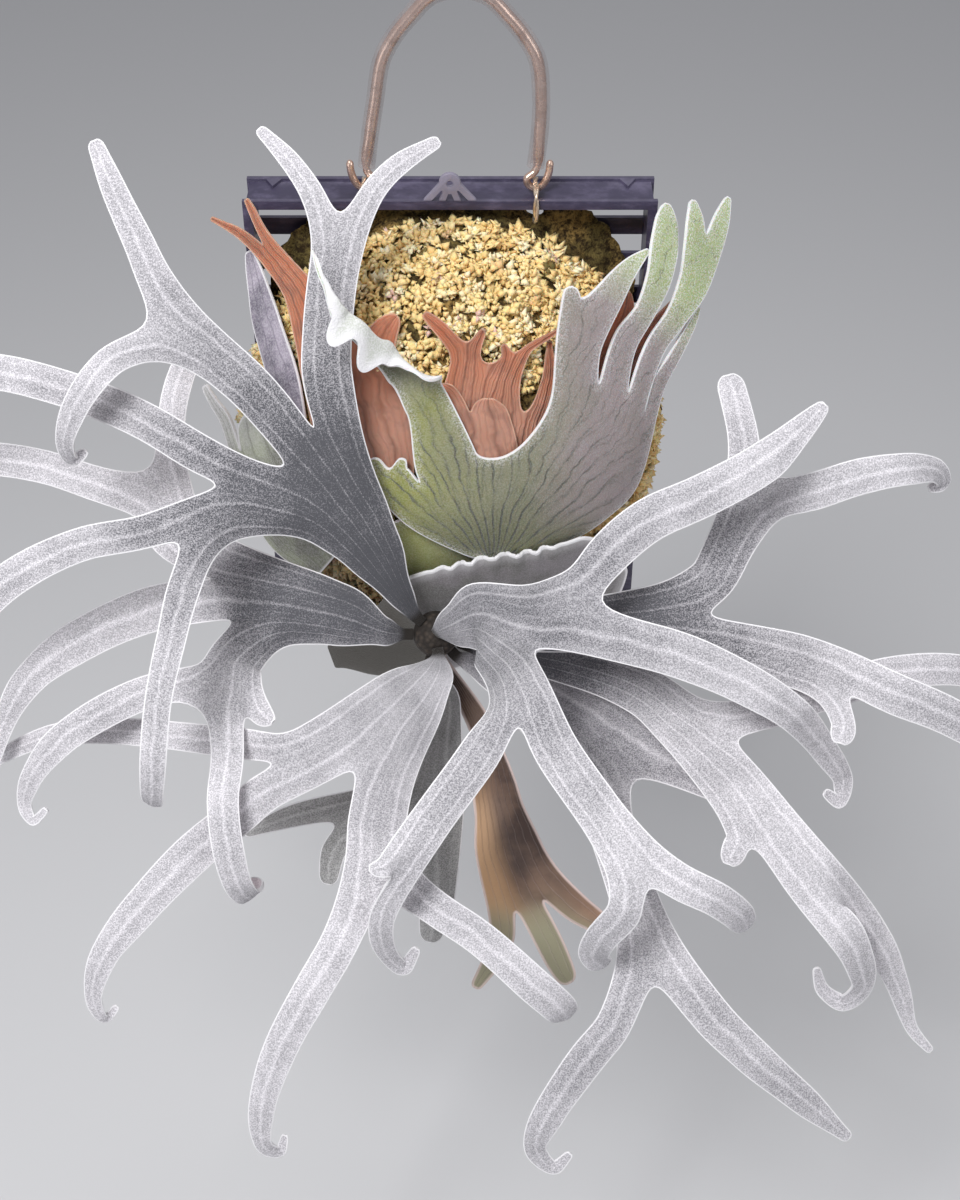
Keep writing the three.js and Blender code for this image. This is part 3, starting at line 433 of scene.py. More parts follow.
def twisted_tie(name, sign):
    """Two thin strands laid side by side, twisted round each other along the tie's loop."""
    route = smooth_route(tie_route(sign), TIE_STEPS, closed=True)
    strands = []
    for phase in (0, math.pi):
        turned = []
        for i, place in enumerate(route):
            tangent = (route[(i + 1) % len(route)] - route[i - 1]).normalized()
            across = Vector((1, 0, 0))
            up = tangent.cross(across).normalized()
            angle = phase + math.tau * TIE_TWISTS * i / len(route)
            aside = (across * math.cos(angle) + up * math.sin(angle)) * STRAND_DIAMETER * STRAND_FROM_MIDDLE
            turned.append(place + aside)
        strands.append(round_bar(name, turned, STRAND_DIAMETER, STRAND_SIDES, closed=True))
    select_only(*strands)
    bpy.ops.object.join()
    strands[0].name = name
    return strands[0]


pale_copper = copper_finish("pale_tie_wire", TIE_PALE, TIE_DULL)
for node, sign in (("tie_left", -1), ("tie_right", 1)):
    tie = twisted_tie(node + "_twisted", sign)
    hang_up(tie, pale_copper, 60)
    hand_over(tie, node)


# The moss: moist long-fibred sphagnum, packed into the tray and heaped up in front of it round the roots.
# This is its close inside: dark moss, with its hollows painted near-black as shade. The loose crumbs on it
# are tucked in last, round the leaves.
MOUND_CENTRE = (0, -12, -166)
MOUND_RADII = (84, 65, 89.5)
MOSS_GAP_DEPTH = 2.2 * MM
MOSS_LUMP = 6 * MM
MOSS_GRID = 2.2 * MM
MOSS_DARK_IN_SHADE = (0.035, 0.022, 0.010, 1)
MOSS_OLIVE = (0.17, 0.13, 0.045, 1)
MOSS_OCHRE = (0.42, 0.27, 0.09, 1)


def packed_moss_finish():
    finish = Finish("packed_moss", Roughness=0.95, Specular_IOR_Level=0.2)
    lumps = finish.place.grain(3.2 * MM, 5, 0.7)
    crumbs = finish.place.grain(1.2 * MM, 3, 0.7)
    # Where the relief's lumps are low, the moss is painted near-black: partly dark moss, partly painted
    # shade in the hollows.
    light = (lumps * 0.6 + crumbs * 0.4).fades(0.4, 0.62)
    damp = finish.place.grain(22 * MM, 3).fades(0.4, 0.62)
    finish.paint("Base Color", light.between(MOSS_DARK_IN_SHADE, damp.between(MOSS_OLIVE, MOSS_OCHRE)))
    finish.relief(lumps + crumbs * 0.5, 1.5 * MM)
    return finish.material


moss = merged_copy("moss", "moss_packed")
apply_modifier(moss, "REMESH", mode="VOXEL", voxel_size=MOSS_GRID)
lumpy = bpy.data.textures.new("moss_lumps", "CLOUDS")
lumpy.noise_scale = MOSS_LUMP
lumpy.noise_depth = 2
apply_modifier(moss, "DISPLACE", texture=lumpy, strength=-2 * MOSS_GAP_DEPTH, mid_level=0.0,
               texture_coords="LOCAL")
moss.data.materials.append(packed_moss_finish())
smooth_by_angle(moss, 80)
hand_over(moss, "moss")


# The shield leaves: each grew flat against the moss from behind the crown, and its top stands free.
# The brown ones died first: thin, dry, veined like paper, curled and split at their tips.
CROWN = Vector((-9.8, -97, -201))
FACE_TILT = math.radians(50)
COLUMNS_PER_TIP = 4
ROW_STEP = 8
ROW_TURN = 0.3
FORK_STEP = 5
HOLLOW_AT = 0.6
SAMPLES_PER_KNOT = 24
SIDE_RETURN = 0.2
TIP_ROWS = (1, 0.62, 0.3, 0.08)
ROOM_BEFORE_TIP = 1.3
LEAST_STEP = 0.5
EASING_BESIDE = 0.5
EASING_SHARE = 0.5
EASING_ROUNDS = 6
HOLLOW_ROUNDS = 1
SHARP_CORNER = math.radians(145)
SHOULDER = 0.8
SHIELD_ARCH = 0.03
FACING = Vector((0, 0, 1))
MARK_STEP = 0.3
LEAF_EDGE_ROUND = 0.32
LEAF_EDGE_ANGLE = math.radians(55)

# From a leaf's own millimetres, right, up and out of the rosette, to its place in the object.
ROSETTE = Matrix.Translation(CROWN * MM) @ Matrix.Rotation(FACE_TILT, 4, "X") @ Matrix.Scale(MM, 4)


def lobe(line, *lobes, columns=COLUMNS_PER_TIP):
    """A lobe of a leaf: its centre line, and the lobes that it forks into.

    Each point of the line says right, up, out and width, and where the blade turns also its roll in degrees
    and its fold.
    """
    return {"line": line, "lobes": lobes, "columns": columns}


def count_columns(leaf):
    return sum(map(count_columns, leaf["lobes"])) or leaf["columns"]


def end_fractions(leaf):
    """Where each column of a lobe ends across its last row: each child lobe takes its share by width."""
    if not leaf["lobes"]:
        return [k / leaf["columns"] for k in range(leaf["columns"] + 1)]
    total = sum(child["line"][0][3] for child in leaf["lobes"])
    fractions = [0]
    for child in leaf["lobes"]:
        start = fractions[-1]
        columns = count_columns(child)
        fractions += [start + child["line"][0][3] / total * k / columns for k in range(1, columns + 1)]
    return fractions


def sample_line(points):
    """The centre line as evenly sampled places, with the tangent, side, width, roll and fold at each."""
    places = [Vector(point[:3]) for point in points]
    knots = len(points) - 1
    samples = []
    side = None
    distance = 0
    for step in range(knots * SAMPLES_PER_KNOT + 1):
        knot = min(knots - 1, step // SAMPLES_PER_KNOT)
        share = step / SAMPLES_PER_KNOT - knot
        at, tangent = spline_point(places, knot, share)
        here, there = points[knot], points[knot + 1]
        blend = share * share * (3 - 2 * share)
        width = here[3] + (there[3] - here[3]) * blend
        roll, fold = (start + (end - start) * blend for start, end in zip(
            *((*point[4:], 0, 0)[:2] for point in (here, there))))
        across = tangent.cross(FACING)
        strength = across.length
        if strength > 0.001:
            across.normalize()
        if side is None:
            side = across.copy()
        side = (side - tangent * side.dot(tangent)).normalized()
        if side.dot(across) < 0:
            across.negate()
        side = side.lerp(across, SIDE_RETURN * strength * strength).normalized()
        if samples:
            distance += (at - samples[-1]["at"]).length
        samples.append({"at": at, "tangent": tangent, "side": side, "width": width,
                        "roll": roll, "fold": fold, "distance": distance})
    return samples


def row_distances(samples, is_tip, row_step):
    """The distances along a centre line at which it gets a row: closer together where it curls."""
    cost = [0]
    for last, here in zip(samples, samples[1:]):
        turn = here["tangent"].angle(last["tangent"], 0)
        cost.append(cost[-1] + (here["distance"] - last["distance"]) / row_step + turn / ROW_TURN)
    end = samples[-1]
    tip_length = end["width"] / 2 if is_tip else 0
    rows = max(1, round(cost[-1]))
    distances = []
    i = 0
    for row in range(1, rows + 1):
        while i < len(samples) - 1 and cost[i] < cost[-1] * row / rows - 1e-9:
            i += 1
        distance = samples[i]["distance"]
        if not is_tip or distance < end["distance"] - tip_length * ROOM_BEFORE_TIP:
            distances.append(distance)
    if is_tip:
        distances += [end["distance"] - tip_length * share for share in TIP_ROWS]
    return distances


def sample_at(samples, distance):
    i = 1
    while i < len(samples) - 1 and samples[i]["distance"] < distance:
        i += 1
    here, there = samples[i - 1], samples[i]
    t = (distance - here["distance"]) / max(there["distance"] - here["distance"], 1e-9)
    t = min(1, max(0, t))
    found = {key: here[key] + (there[key] - here[key]) * t for key in ("at", "width", "roll", "fold")}
    found["tangent"] = here["tangent"].lerp(there["tangent"], t).normalized()
    found["side"] = here["side"].lerp(there["side"], t).normalized()
    return found


def row_across(here, fractions, arch, rounding=1, scallop=0):
    """A row of points across a lobe, arched or folded in the middle. A scallop lets its right edge out."""
    side = Matrix.Rotation(math.radians(here["roll"]), 3, here["tangent"]) @ here["side"]
    normal = side.cross(here["tangent"]).normalized()
    width = here["width"]
    rise = (arch + here["fold"]) * width
    outward = (side * width - normal * (4 * rise)).normalized()
    return [here["at"] + side * ((share - 0.5) * width * rounding)
            + outward * (scallop * max(0, 2 * share - 1))
            + normal * (rise * (1 - 4 * (share - 0.5) ** 2)) for share in fractions]


def flow(start, leaving, end, arriving, t):
    """A point on the smooth curve that leaves the start in one direction and reaches the end in another."""
    reach = (end - start).length
    return (start * (2 * t ** 3 - 3 * t ** 2 + 1) + leaving * (reach * (t ** 3 - 2 * t ** 2 + t))
            + end * (3 * t ** 2 - 2 * t ** 3) + arriving * (reach * (t ** 3 - t ** 2)))


class Sheet:
    """A leaf's middle surface: points and quads, and each point's column and distance along the leaf."""

    def __init__(self):
        self.points = []
        self.quads = []
        self.columns = []
        self.along = []
        self.easing = []

    def add_row(self, row, previous, first_column, along, easing=0.0):
        ids = list(range(len(self.points), len(self.points) + len(row)))
        self.points += row
        self.columns += [first_column + k for k in range(len(row))]
        self.along += [along] * len(row)
        self.easing += [easing] * len(row)
        if previous:
            self.quads += [(previous[k], previous[k + 1], ids[k + 1], ids[k]) for k in range(len(ids) - 1)]
        return ids

    def grow_lobe(self, leaf, arch, samples, first_row, begin, column, travelled):
        """A lobe's rows from its first row on, then the fork, and then its child lobes."""
        is_tip = not leaf["lobes"]
        fractions = end_fractions(leaf)
        full = samples[-1]["distance"]
        tip_length = samples[-1]["width"] / 2
        previous = first_row
        for distance in row_distances(samples, is_tip, leaf.get("row_step", ROW_STEP)):
            if distance <= begin + LEAST_STEP:
                continue
            left = full - distance
            rounding = 1
            if is_tip and left < tip_length:
                rounding = math.sqrt(1 - (1 - left / tip_length) ** 2)
            scallop = sum(height * max(0, 1 - ((distance - at) / reach) ** 2)
                          for at, reach, height in leaf.get("scallops", ()))
            row = row_across(sample_at(samples, distance), fractions, arch, rounding, scallop)
            previous = self.add_row(row, previous, column, travelled + distance)
        if not is_tip:
            self.grow_fork(leaf, arch, samples[-1], previous, column, travelled + full)

    def grow_fork(self, leaf, arch, end, last_row, column, travelled):
        """Every column flows from the parent's last row to its own child lobe's first row."""
        children = []
        first = 0
        for child in leaf["lobes"]:
            columns = count_columns(child)
            left, right = self.points[last_row[first]], self.points[last_row[first + columns]]
            centre = (left + right) / 2
            samples = sample_line([(*centre, child["line"][0][3]), *child["line"]])
            head = samples[SAMPLES_PER_KNOT]
            children.append({
                "leaf": child, "columns": columns, "first": first, "samples": samples, "head": head,
                "reached": row_across(head, end_fractions(child), arch),
                "reach": (centre - head["at"]).length,
            })
            first += columns

        def place(entry, k, t):
            start = self.points[last_row[entry["first"] + k]]
            return flow(start, end["tangent"], entry["reached"][k], entry["head"]["tangent"], t)

        nearest = min(entry["reach"] for entry in children)
        shared_rows = max(1, round(nearest * HOLLOW_AT / FORK_STEP))
        previous = last_row
        for row in range(1, shared_rows + 1):
            t = HOLLOW_AT * row / shared_rows
            points = []
            for k in range(len(last_row)):
                places = [place(entry, k - entry["first"], t) for entry in children
                          if entry["first"] <= k <= entry["first"] + entry["columns"]]
                points.append(sum(places, Vector()) / len(places))
            previous = self.add_row(points, previous, column, travelled + nearest * t, 1)
        for entry in children:
            own_rows = max(1, round(entry["reach"] * (1 - HOLLOW_AT) / FORK_STEP))
            fork_row = previous[entry["first"]:entry["first"] + entry["columns"] + 1]
            row = fork_row
            for step in range(1, own_rows + 1):
                passed = step / own_rows
                t = HOLLOW_AT + (1 - HOLLOW_AT) * passed
                points = [place(entry, k, t)
                          + (self.points[fork_row[k]] - place(entry, k, HOLLOW_AT)) * (1 - passed) ** 2
                          for k in range(len(fork_row))]
                row = self.add_row(points, row, column + entry["first"], travelled + entry["reach"] * t, 1)
            self.grow_lobe(entry["leaf"], arch, entry["samples"], row, entry["head"]["distance"],
                           column + entry["first"], travelled)


def ease_forks(sheet):
    """Evens out the sheet where it forks: margin points between margin points, the others between all."""
    uses = {}
    for quad in sheet.quads:
        for a, b in zip(quad, (*quad[1:], quad[0])):
            edge = (min(a, b), max(a, b))
            uses[edge] = uses.get(edge, 0) + 1
    margin = {point for edge, count in uses.items() if count == 1 for point in edge}
    near = [[] for _ in sheet.points]
    for (a, b), count in uses.items():
        if count == 1 or a not in margin:
            near[a].append(b)
        if count == 1 or b not in margin:
            near[b].append(a)
    easing = list(sheet.easing)
    for i, weight in enumerate(sheet.easing):
        if weight:
            for k in near[i]:
                easing[k] = max(easing[k], EASING_BESIDE)
    for rounds_left in range(EASING_ROUNDS, 0, -1):
        eased = []
        for i, point in enumerate(sheet.points):
            around = [sheet.points[k] for k in near[i]]
            sharp = (i in margin and rounds_left > HOLLOW_ROUNDS
                     and (around[0] - point).angle(around[1] - point, math.pi) < SHARP_CORNER)
            if easing[i] and not sharp:
                point = point.lerp(sum(around, Vector()) / len(around), EASING_SHARE * easing[i])
            eased.append(point)
        sheet.points = eased


def grow_leaf(leaf, arch):
    sheet = Sheet()
    samples = sample_line(leaf["line"])
    first_row = sheet.add_row(row_across(samples[0], end_fractions(leaf), arch), None, 0, 0)
    sheet.grow_lobe(leaf, arch, samples, first_row, 0, 0, 0)
    ease_forks(sheet)
    return sheet


def mound_depth(right, up, layer):
    """How far out of the rosette's plane the moss lies, with the mound grown by a layer of leaves."""
    rx, ry, rz = (radius + layer for radius in MOUND_RADII)
    cos, sin = math.cos(FACE_TILT), math.sin(FACE_TILT)
    x = right + CROWN.x + LEAN - MOUND_CENTRE[0]
    y = up * cos + CROWN.y - MOUND_CENTRE[1]
    z = up * sin + CROWN.z - MOUND_CENTRE[2]
    a = (sin / ry) ** 2 + (cos / rz) ** 2
    b = -sin * y / ry ** 2 + cos * z / rz ** 2
    c = (x / rx) ** 2 + (y / ry) ** 2 + (z / rz) ** 2 - 1
    away = math.sqrt(max(0, 1 - (b * b - a * c) / a))
    shoulder_height = math.sqrt(1 - SHOULDER ** 2)
    height = math.sqrt(1 - away ** 2) if away < SHOULDER else (
        shoulder_height - SHOULDER / shoulder_height * (away - SHOULDER))
    return -b / a + height / math.sqrt(a)


def store(mesh, name, values):
    """Keeps one number for each point of the mesh, for its material to read."""
    layer = mesh.attributes.get(name) or mesh.attributes.new(name, "FLOAT", "POINT")
    layer.data.foreach_set("value", np.asarray(values, np.float32))


def margin_distances(mesh):
    """Each point's distance, in millimetres, from the open sheet's nearest edge."""
    shell = bmesh.new()
    shell.from_mesh(mesh)
    marks = []
    for edge in shell.edges:
        if edge.is_boundary:
            start, end = (vert.co / MM for vert in edge.verts)
            steps = max(1, int((end - start).length / MARK_STEP))
            marks += [start.lerp(end, step / steps) for step in range(steps)]
    tree = KDTree(len(marks))
    for i, mark in enumerate(marks):
        tree.insert(mark, i)
    tree.balance()
    distances = [tree.find(vert.co / MM)[2] for vert in shell.verts]
    shell.free()
    return distances


def smooth_all_over(mesh):
    for face in mesh.polygons:
        face.use_smooth = True


def leaf_piece(name, sheet, thickness, materials, levels=1, ripple=None):
    """A blade of that thickness in millimetres on the sheet, its upper and lower faces in two finishes."""
    mesh = bpy.data.meshes.new(name)
    mesh.from_pydata([ROSETTE @ point for point in sheet.points], [], sheet.quads)
    piece = in_scene(name, mesh)
    store(mesh, "column", sheet.columns)
    store(mesh, "along", sheet.along)
    apply_modifier(piece, "SUBSURF", levels=levels, render_levels=levels)
    mesh = piece.data
    store(mesh, "margin", margin_distances(mesh))
    if ripple:
        ripple(mesh)
    for material in materials:
        mesh.materials.append(material)
    apply_modifier(piece, "SOLIDIFY", thickness=thickness * MM, offset=0, use_even_offset=False,
                   material_offset=1)
    apply_modifier(piece, "BEVEL", width=LEAF_EDGE_ROUND * thickness * MM, segments=2, limit_method="ANGLE",
                   angle_limit=LEAF_EDGE_ANGLE, use_clamp_overlap=True)
    smooth_all_over(piece.data)
    return piece


def shield(name, leaf, layer, thickness, materials, levels=1, ripple=None):
    """A shield leaf that lies on the mound of moss, that layer of millimetres over it."""
    sheet = grow_leaf(leaf, SHIELD_ARCH)
    for point in sheet.points:
        point.z += mound_depth(point.x, point.y, layer)
    return leaf_piece(name, sheet, thickness, materials, levels, ripple)


def leaf_places(finish):
    """A point's place in its leaf: columns across it, and millimetres from its margin and along it."""
    return [finish.attribute(name) for name in ("column", "margin", "along")]


BROWN_THICKNESS = 0.8
CRUMPLE_HEIGHT = 0.3
CRUMPLE_SIZE = 4
BROWN_PINK = (0.46, 0.25, 0.185, 1)
BROWN_ORANGE = (0.43, 0.148, 0.072, 1)
BROWN_DARK = (0.105, 0.034, 0.020, 1)
BROWN_PALE_EDGE = (0.68, 0.42, 0.31, 1)


def brown_finish():
    finish = Finish("dry_brown_leaf", Roughness=0.5, Subsurface_Weight=0.3, Subsurface_Scale=0.004,
                    Specular_IOR_Level=0.35, Sheen_Weight=0.12)
    column, margin, along = leaf_places(finish)
    wander = finish.place.grain(9 * MM, 2) - 0.5
    veins = (column * 0.5 + wander * 1.2).maths("PINGPONG", 0.5).fades(0.26, 0.0)
    threads = (column * 1.5 + wander * 2).maths("PINGPONG", 0.5).fades(0.3, 0.05)
    blotch = finish.place.grain(11 * MM, 3, 0.6).fades(0.34, 0.68)
    body = (along.fades(18, 56) * 0.7 + blotch * 0.25).between(BROWN_PINK, BROWN_ORANGE)
    body = (blotch.fades(0.5, 0.0) * 0.3).between(body, BROWN_DARK)
    body = (veins * 0.3 + threads * 0.12).between(body, BROWN_DARK)
    finish.paint("Base Color", (margin.fades(0.8, 0.2) * 0.65).between(body, BROWN_PALE_EDGE))
    finish.relief(veins * 0.8 + threads * 0.5 + blotch * 0.3, 0.3 * MM)
    return finish.material


middle_brown_shield = lobe(
    [[17, 46, 0, 37], [18, 63, 0, 40.5], [18.5, 70, 0, 39.5]],
    lobe([[17, 79, 0, 29], [17.5, 86, 0, 26]],
         lobe([[12, 95, 1, 9.5]],
              lobe([[7, 100.5, 3, 5.5], [2, 106, 5, 5], [-3, 110, 7, 3]]),
              lobe([[16, 101, 1, 4], [18.5, 105, 3, 2.5]])),
         lobe([[28.5, 93, 1, 8.5]],
              lobe([[26, 98, 2, 3], [25, 100, 3, 2]]),
              lobe([[33, 98, 3, 3], [39, 101.5, 5, 2.5], [46, 106, 7, 1.5]]))),
    lobe([[40, 79, 0, 5], [42, 91, 1, 4.5], [42, 102, 2, 2]]))

front_brown_shield = lobe(
    [[17, 48, 0, 28], [16, 59, 0, 31], [14, 68, 0, 31.5]],
    lobe([[6, 78.5, 0, 15], [1, 85.5, 0, 6]]),
    lobe([[20, 77.5, 0, 13.5], [20, 81.5, 0, 11]]))

left_brown_shield = lobe(
    [[-18, 46, 0, 22], [-22, 62, 0, 31.5], [-27, 77, 0, 36], [-30, 88, 1, 36]],
    lobe([[-47, 118, 7, 12.5], [-55, 130, 17, 9.5]],
         lobe([[-67, 141, 28, 4.5], [-83, 151, 38, 2]]),
         lobe([[-62, 141, 29, 4], [-65, 149, 37, 3], [-68, 155, 42, 2]])),
    lobe([[-19, 102, 1, 11.5], [-16, 106, 2, 9.5], [-12, 110, 3, 5]]))

right_brown_shield = lobe(
    [[52, 64, 0, 22], [60, 82, 1, 22], [66, 95, 3, 18.5]],
    lobe([[69, 112, 7, 9.5], [71, 123, 12, 4.5]]),
    lobe([[83, 110, 8, 8], [91, 122, 15, 3]]))

# Each brown leaf's node, its form, and how many millimetres over the moss it lies.
BROWN_SHIELDS = (
    ("shield_brown_middle", middle_brown_shield, 1),
    ("shield_brown_front", front_brown_shield, 3.5),
    ("shield_brown_left", left_brown_shield, 1),
    ("shield_brown_right", right_brown_shield, 0.8),
)


def crumple(mesh):
    """Dry papery buckles all over a sheet."""
    for vert in mesh.vertices:
        place = vert.co / MM
        x, z = place.x / CRUMPLE_SIZE, place.z / CRUMPLE_SIZE
        wave = math.sin(x + z * 0.7) * math.cos(z * 1.3)
        vert.co += vert.normal * wave * CRUMPLE_HEIGHT * MM


brown = brown_finish()
for node, leaf, layer in BROWN_SHIELDS:
    piece = shield(node + "_leaf", leaf, layer, BROWN_THICKNESS, (brown, brown), 2, crumple)
    hand_over(piece, node)


# The grey-lilac shield leaves at the left: older than the green ones, thin, and turning papery from the
# back. They grew against the moss like the others, and their tips stand out past the board's left edge.
LILAC_LAYER = 2.8
LILAC_THICKNESS = 0.9
LEFT_LAYER = 0.6
SHIELD_THICKNESS = 1.1
LILAC_GREY = (0.34, 0.30, 0.37, 1)
LILAC_DARK = (0.115, 0.10, 0.14, 1)
LEFT_GREEN = (0.30, 0.33, 0.22, 1)
LEFT_SHADE = (0.15, 0.155, 0.12, 1)
FELT_WHITE = (0.83, 0.82, 0.84, 1)

lilac_shield = lobe(
    [[-51, 68, 0, 10.5], [-55, 90, 1.5, 12], [-62, 112, 6, 11], [-66, 128, 12, 7.5], [-69, 139, 17, 3.5]])

left_shield = lobe(
    [[-40, 25, 0, 23.5], [-54, 40, 0, 31], [-64, 54, 1, 27]],
    lobe([[-79, 76, 7, 5], [-85, 85, 12, 3.5], [-88, 91, 16, 2.5]]),
    lobe([[-68, 73, 4, 16], [-70, 80, 6, 11.5]]))


def drying_finish(name, pale, dark, edge_reach, tip_white):
    """Thin old leaf with dark veins, a felted edge, and tips that stay white."""
    finish = Finish(name, Roughness=0.62, Sheen_Weight=0.25, Specular_IOR_Level=0.3)
    column, margin, along = leaf_places(finish)
    wander = finish.place.grain(9 * MM, 2) - 0.5
    veins = (column * 0.75 + wander * 0.6).maths("PINGPONG", 0.5).fades(0.14, 0.02)
    clouds = finish.place.grain(13 * MM, 4, 0.6).fades(0.36, 0.66)
    felt = finish.place.grain(0.7 * MM, 2, 0.7).fades(0.35, 0.68)
    body = clouds.between(dark, pale)
    body = (felt * 0.25 + along.fades(40, 75) * tip_white).between(body, FELT_WHITE)
    body = (veins * 0.4).between(body, dark)
    finish.paint("Base Color", (margin.fades(edge_reach, 0.25) * 0.8).between(body, FELT_WHITE))
    finish.relief(felt * 0.5 + veins, 0.15 * MM)
    return finish.material


lilac = drying_finish("drying_lilac_leaf", LILAC_GREY, LILAC_DARK, 0.9, 0.0)
green_grey = drying_finish("left_shield_leaf", LEFT_GREEN, LEFT_SHADE, 1.2, 0.45)
lilac_leaf = shield("shield_lilac_leaf", lilac_shield, LILAC_LAYER, LILAC_THICKNESS, (lilac, lilac), 2)
hand_over(lilac_leaf, "shield_lilac")
left_leaf = shield("shield_left_leaf", left_shield, LEFT_LAYER, SHIELD_THICKNESS,
                   (green_grey, green_grey), 2)
hand_over(left_leaf, "shield_left")


# The green shield leaves: the youngest, still alive. The large one stands up in forked lobes behind the
# crown, the smooth one hugs the moss below it. A dense white felt runs along their margins.
SMOOTH_LAYER = 2.9
GREEN_LAYER = 5
YOUNG_GREEN = (0.27, 0.285, 0.075, 1)
GREY_GREEN = (0.215, 0.215, 0.135, 1)
PINK_GREY = (0.32, 0.265, 0.27, 1)
DEEP_OLIVE = (0.135, 0.145, 0.045, 1)
VEIN_GREEN = (0.075, 0.08, 0.06, 1)
TIP_GREEN = (0.36, 0.46, 0.165, 1)
BACK_GREEN = (0.38, 0.43, 0.31, 1)
LEAF_FOOT = (22, 20)
VEIN_ANGLE = 0.17
VEIN_WIDTH = 0.55 * MM
VEIN_HALO = 1.6 * MM
FIRST_BRANCHING = (16 * MM, 44 * MM)
SECOND_BRANCHING = (42 * MM, 78 * MM)

# The white folded lobe's scallops: how far along it each is, how far it reaches and how far it stands out.
FLAP_SCALLOPS = ((50, 8, 6.5), (72, 5.5, 7.0), (87, 5, 7.5))

smooth_shield = lobe(
    [[0, 3, -1, 35.5, 0, -0.03], [4, 12, -1, 54, 0, -0.03], [9, 22, -1.5, 70.5, 0, -0.035],
     [13, 31, -1.5, 73.5, 0, -0.035], [16, 40, -1, 63, 0, -0.03]],
    columns=8)

green_shield = lobe(
    [[25, 25, 0, 22.5], [25, 28, 0, 42], [25, 34, 0, 64], [25, 39, 0, 80.5], [25, 43, 0, 86.5]],
    lobe([[-15, 52, 0, 16]],
         lobe([[-20, 57, 0, 6], [-23, 60, 0, 3]]),
         lobe([[-12, 57, 0, 6], [-10, 60, 0, 3]])),
    lobe([[5.5, 56.5, 1, 23], [-2, 79, 4, 16], [-10, 87, 13, 12, -40, -0.5], [-17, 90, 18, 7, -82, -1.35],
          [-22, 94, 25, 5, -88, -1.4], [-27, 98.5, 31, 5.5, -88, -1.25], [-32, 103, 36, 4.5, -88, -1.4],
          [-34, 108, 40, 3.5, -88, -1.2], [-35, 113, 43, 2.5, -80, -0.8], [-37, 119, 46, 2, -60, -0.4],
          [-39, 126, 49, 0.5]]),
    lobe([[58, 60, 1, 42.5]],
         lobe([[51, 97, 7, 15.5], [54, 108, 12, 18.5]],
              lobe([[49, 116, 16, 6.5], [50, 119, 17, 4]]),
              lobe([[64, 119, 19, 10.5], [71, 129, 23, 6.5], [78, 136, 27, 2]])),
         lobe([[68, 100, 7, 9.5], [77, 114, 16, 7.5], [82, 126, 25, 9.5], [84, 137, 31, 11],
               [85, 147, 35, 9], [85, 154, 38, 3.5]]),
         lobe([[80, 100, 9, 7.5], [89, 113, 18, 8], [96, 126, 28, 12], [98, 134, 34, 14]],
              lobe([[96, 146, 42, 8], [95, 156, 44, 3]]),
              lobe([[106, 148, 42, 8], [110, 160, 46, 2.5]])),
         lobe([[82, 87, 5, 6], [89, 99, 11, 4.5], [96, 112, 17, 3.5], [99, 119, 21, 1.5]])))

green_shield["lobes"][1].update(row_step=2, scallops=FLAP_SCALLOPS)


def radiating_veins(place):
    """Veins that spread from the leaf's foot over its face and branch twice on the way."""
    right = place.axis(0) - (CROWN.x + LEAF_FOOT[0]) * MM
    up = ((place.axis(1) - CROWN.y * MM) * math.cos(FACE_TILT)
          + (place.axis(2) - CROWN.z * MM) * math.sin(FACE_TILT) - LEAF_FOOT[1] * MM)
    radius = (right * right + up * up).maths("SQRT")
    angle = right.maths("ARCTAN2", up) + (place.grain(15 * MM, 4) - 0.5) * 0.2
    first = radius.fades(*FIRST_BRANCHING) * (VEIN_ANGLE / 2)
    second = radius.fades(*SECOND_BRANCHING) * (VEIN_ANGLE / 4)
    lines = 0.0
    for turned, strength, spacing in ((angle, 0.5, VEIN_ANGLE), (angle - first, 0.36, VEIN_ANGLE),
                                      (angle - second, 0.24, VEIN_ANGLE / 2)):
        distance = turned.maths("PINGPONG", spacing / 2) * radius
        vein = distance.fades(VEIN_WIDTH, 0.1 * MM) * strength
        lines = lines + vein + distance.fades(VEIN_HALO, 0) * 0.07
    return lines * (place.grain(7 * MM, 3).fades(0.3, 0.6) * 0.7 + 0.3)


def green_finish(name, deep_reach, veined):
    """Young leaf: branching veins, a felted margin, deep olive near its foot and yellow-green tips."""
    finish = Finish(name, Roughness=0.55, Sheen_Weight=0.2, Specular_IOR_Level=0.35,
                    Subsurface_Weight=0.12, Subsurface_Scale=0.003)
    margin, along = finish.attribute("margin"), finish.attribute("along")
    across = finish.place.axis(0) + (finish.place.grain(26 * MM, 2) - 0.5) * 0.03
    veins = radiating_veins(finish.place) * (margin.fades(0.8, 2.5) * veined)
    felt = finish.place.grain(0.6 * MM, 2, 0.7).fades(0.38, 0.66)
    clouds = finish.place.grain(9 * MM, 3, 0.6).fades(0.3, 0.7)
    greyed = across.fades(-0.020, 0.010).maths("MAXIMUM", along.fades(48, 70))
    body = greyed.between(YOUNG_GREEN, GREY_GREEN)
    body = across.fades(0.020, 0.052).between(body, PINK_GREY)
    body = (along.fades(deep_reach, 2) * 0.75 + clouds * 0.14).between(body, DEEP_OLIVE)
    body = (along.fades(88, 120) * 0.85).between(body, TIP_GREEN)
    body = veins.between(body, VEIN_GREEN)
    cover = margin.fades(5, 0.6) * 0.35 + along.fades(80, 118) * 0.3 + 0.12
    body = (felt * cover).between(body, FELT_WHITE)
    finish.paint("Base Color", (margin.fades(0.75, 0.3) * 0.9).between(body, FELT_WHITE))
    finish.relief(veins * -0.8 + clouds * 0.4 + felt * 0.3, 0.3 * MM)
    return finish.material


def felted_back_finish():
    finish = Finish("felted_shield_back", Roughness=0.75, Sheen_Weight=0.3, Specular_IOR_Level=0.3)
    felt = finish.place.grain(0.6 * MM, 2, 0.7).fades(0.33, 0.68)
    body = (felt * 0.45 + 0.4).between(BACK_GREEN, FELT_WHITE)
    finish.paint("Base Color", finish.attribute("margin").fades(5, 1).between(body, FELT_WHITE))
    finish.relief(felt, 0.14 * MM)
    return finish.material


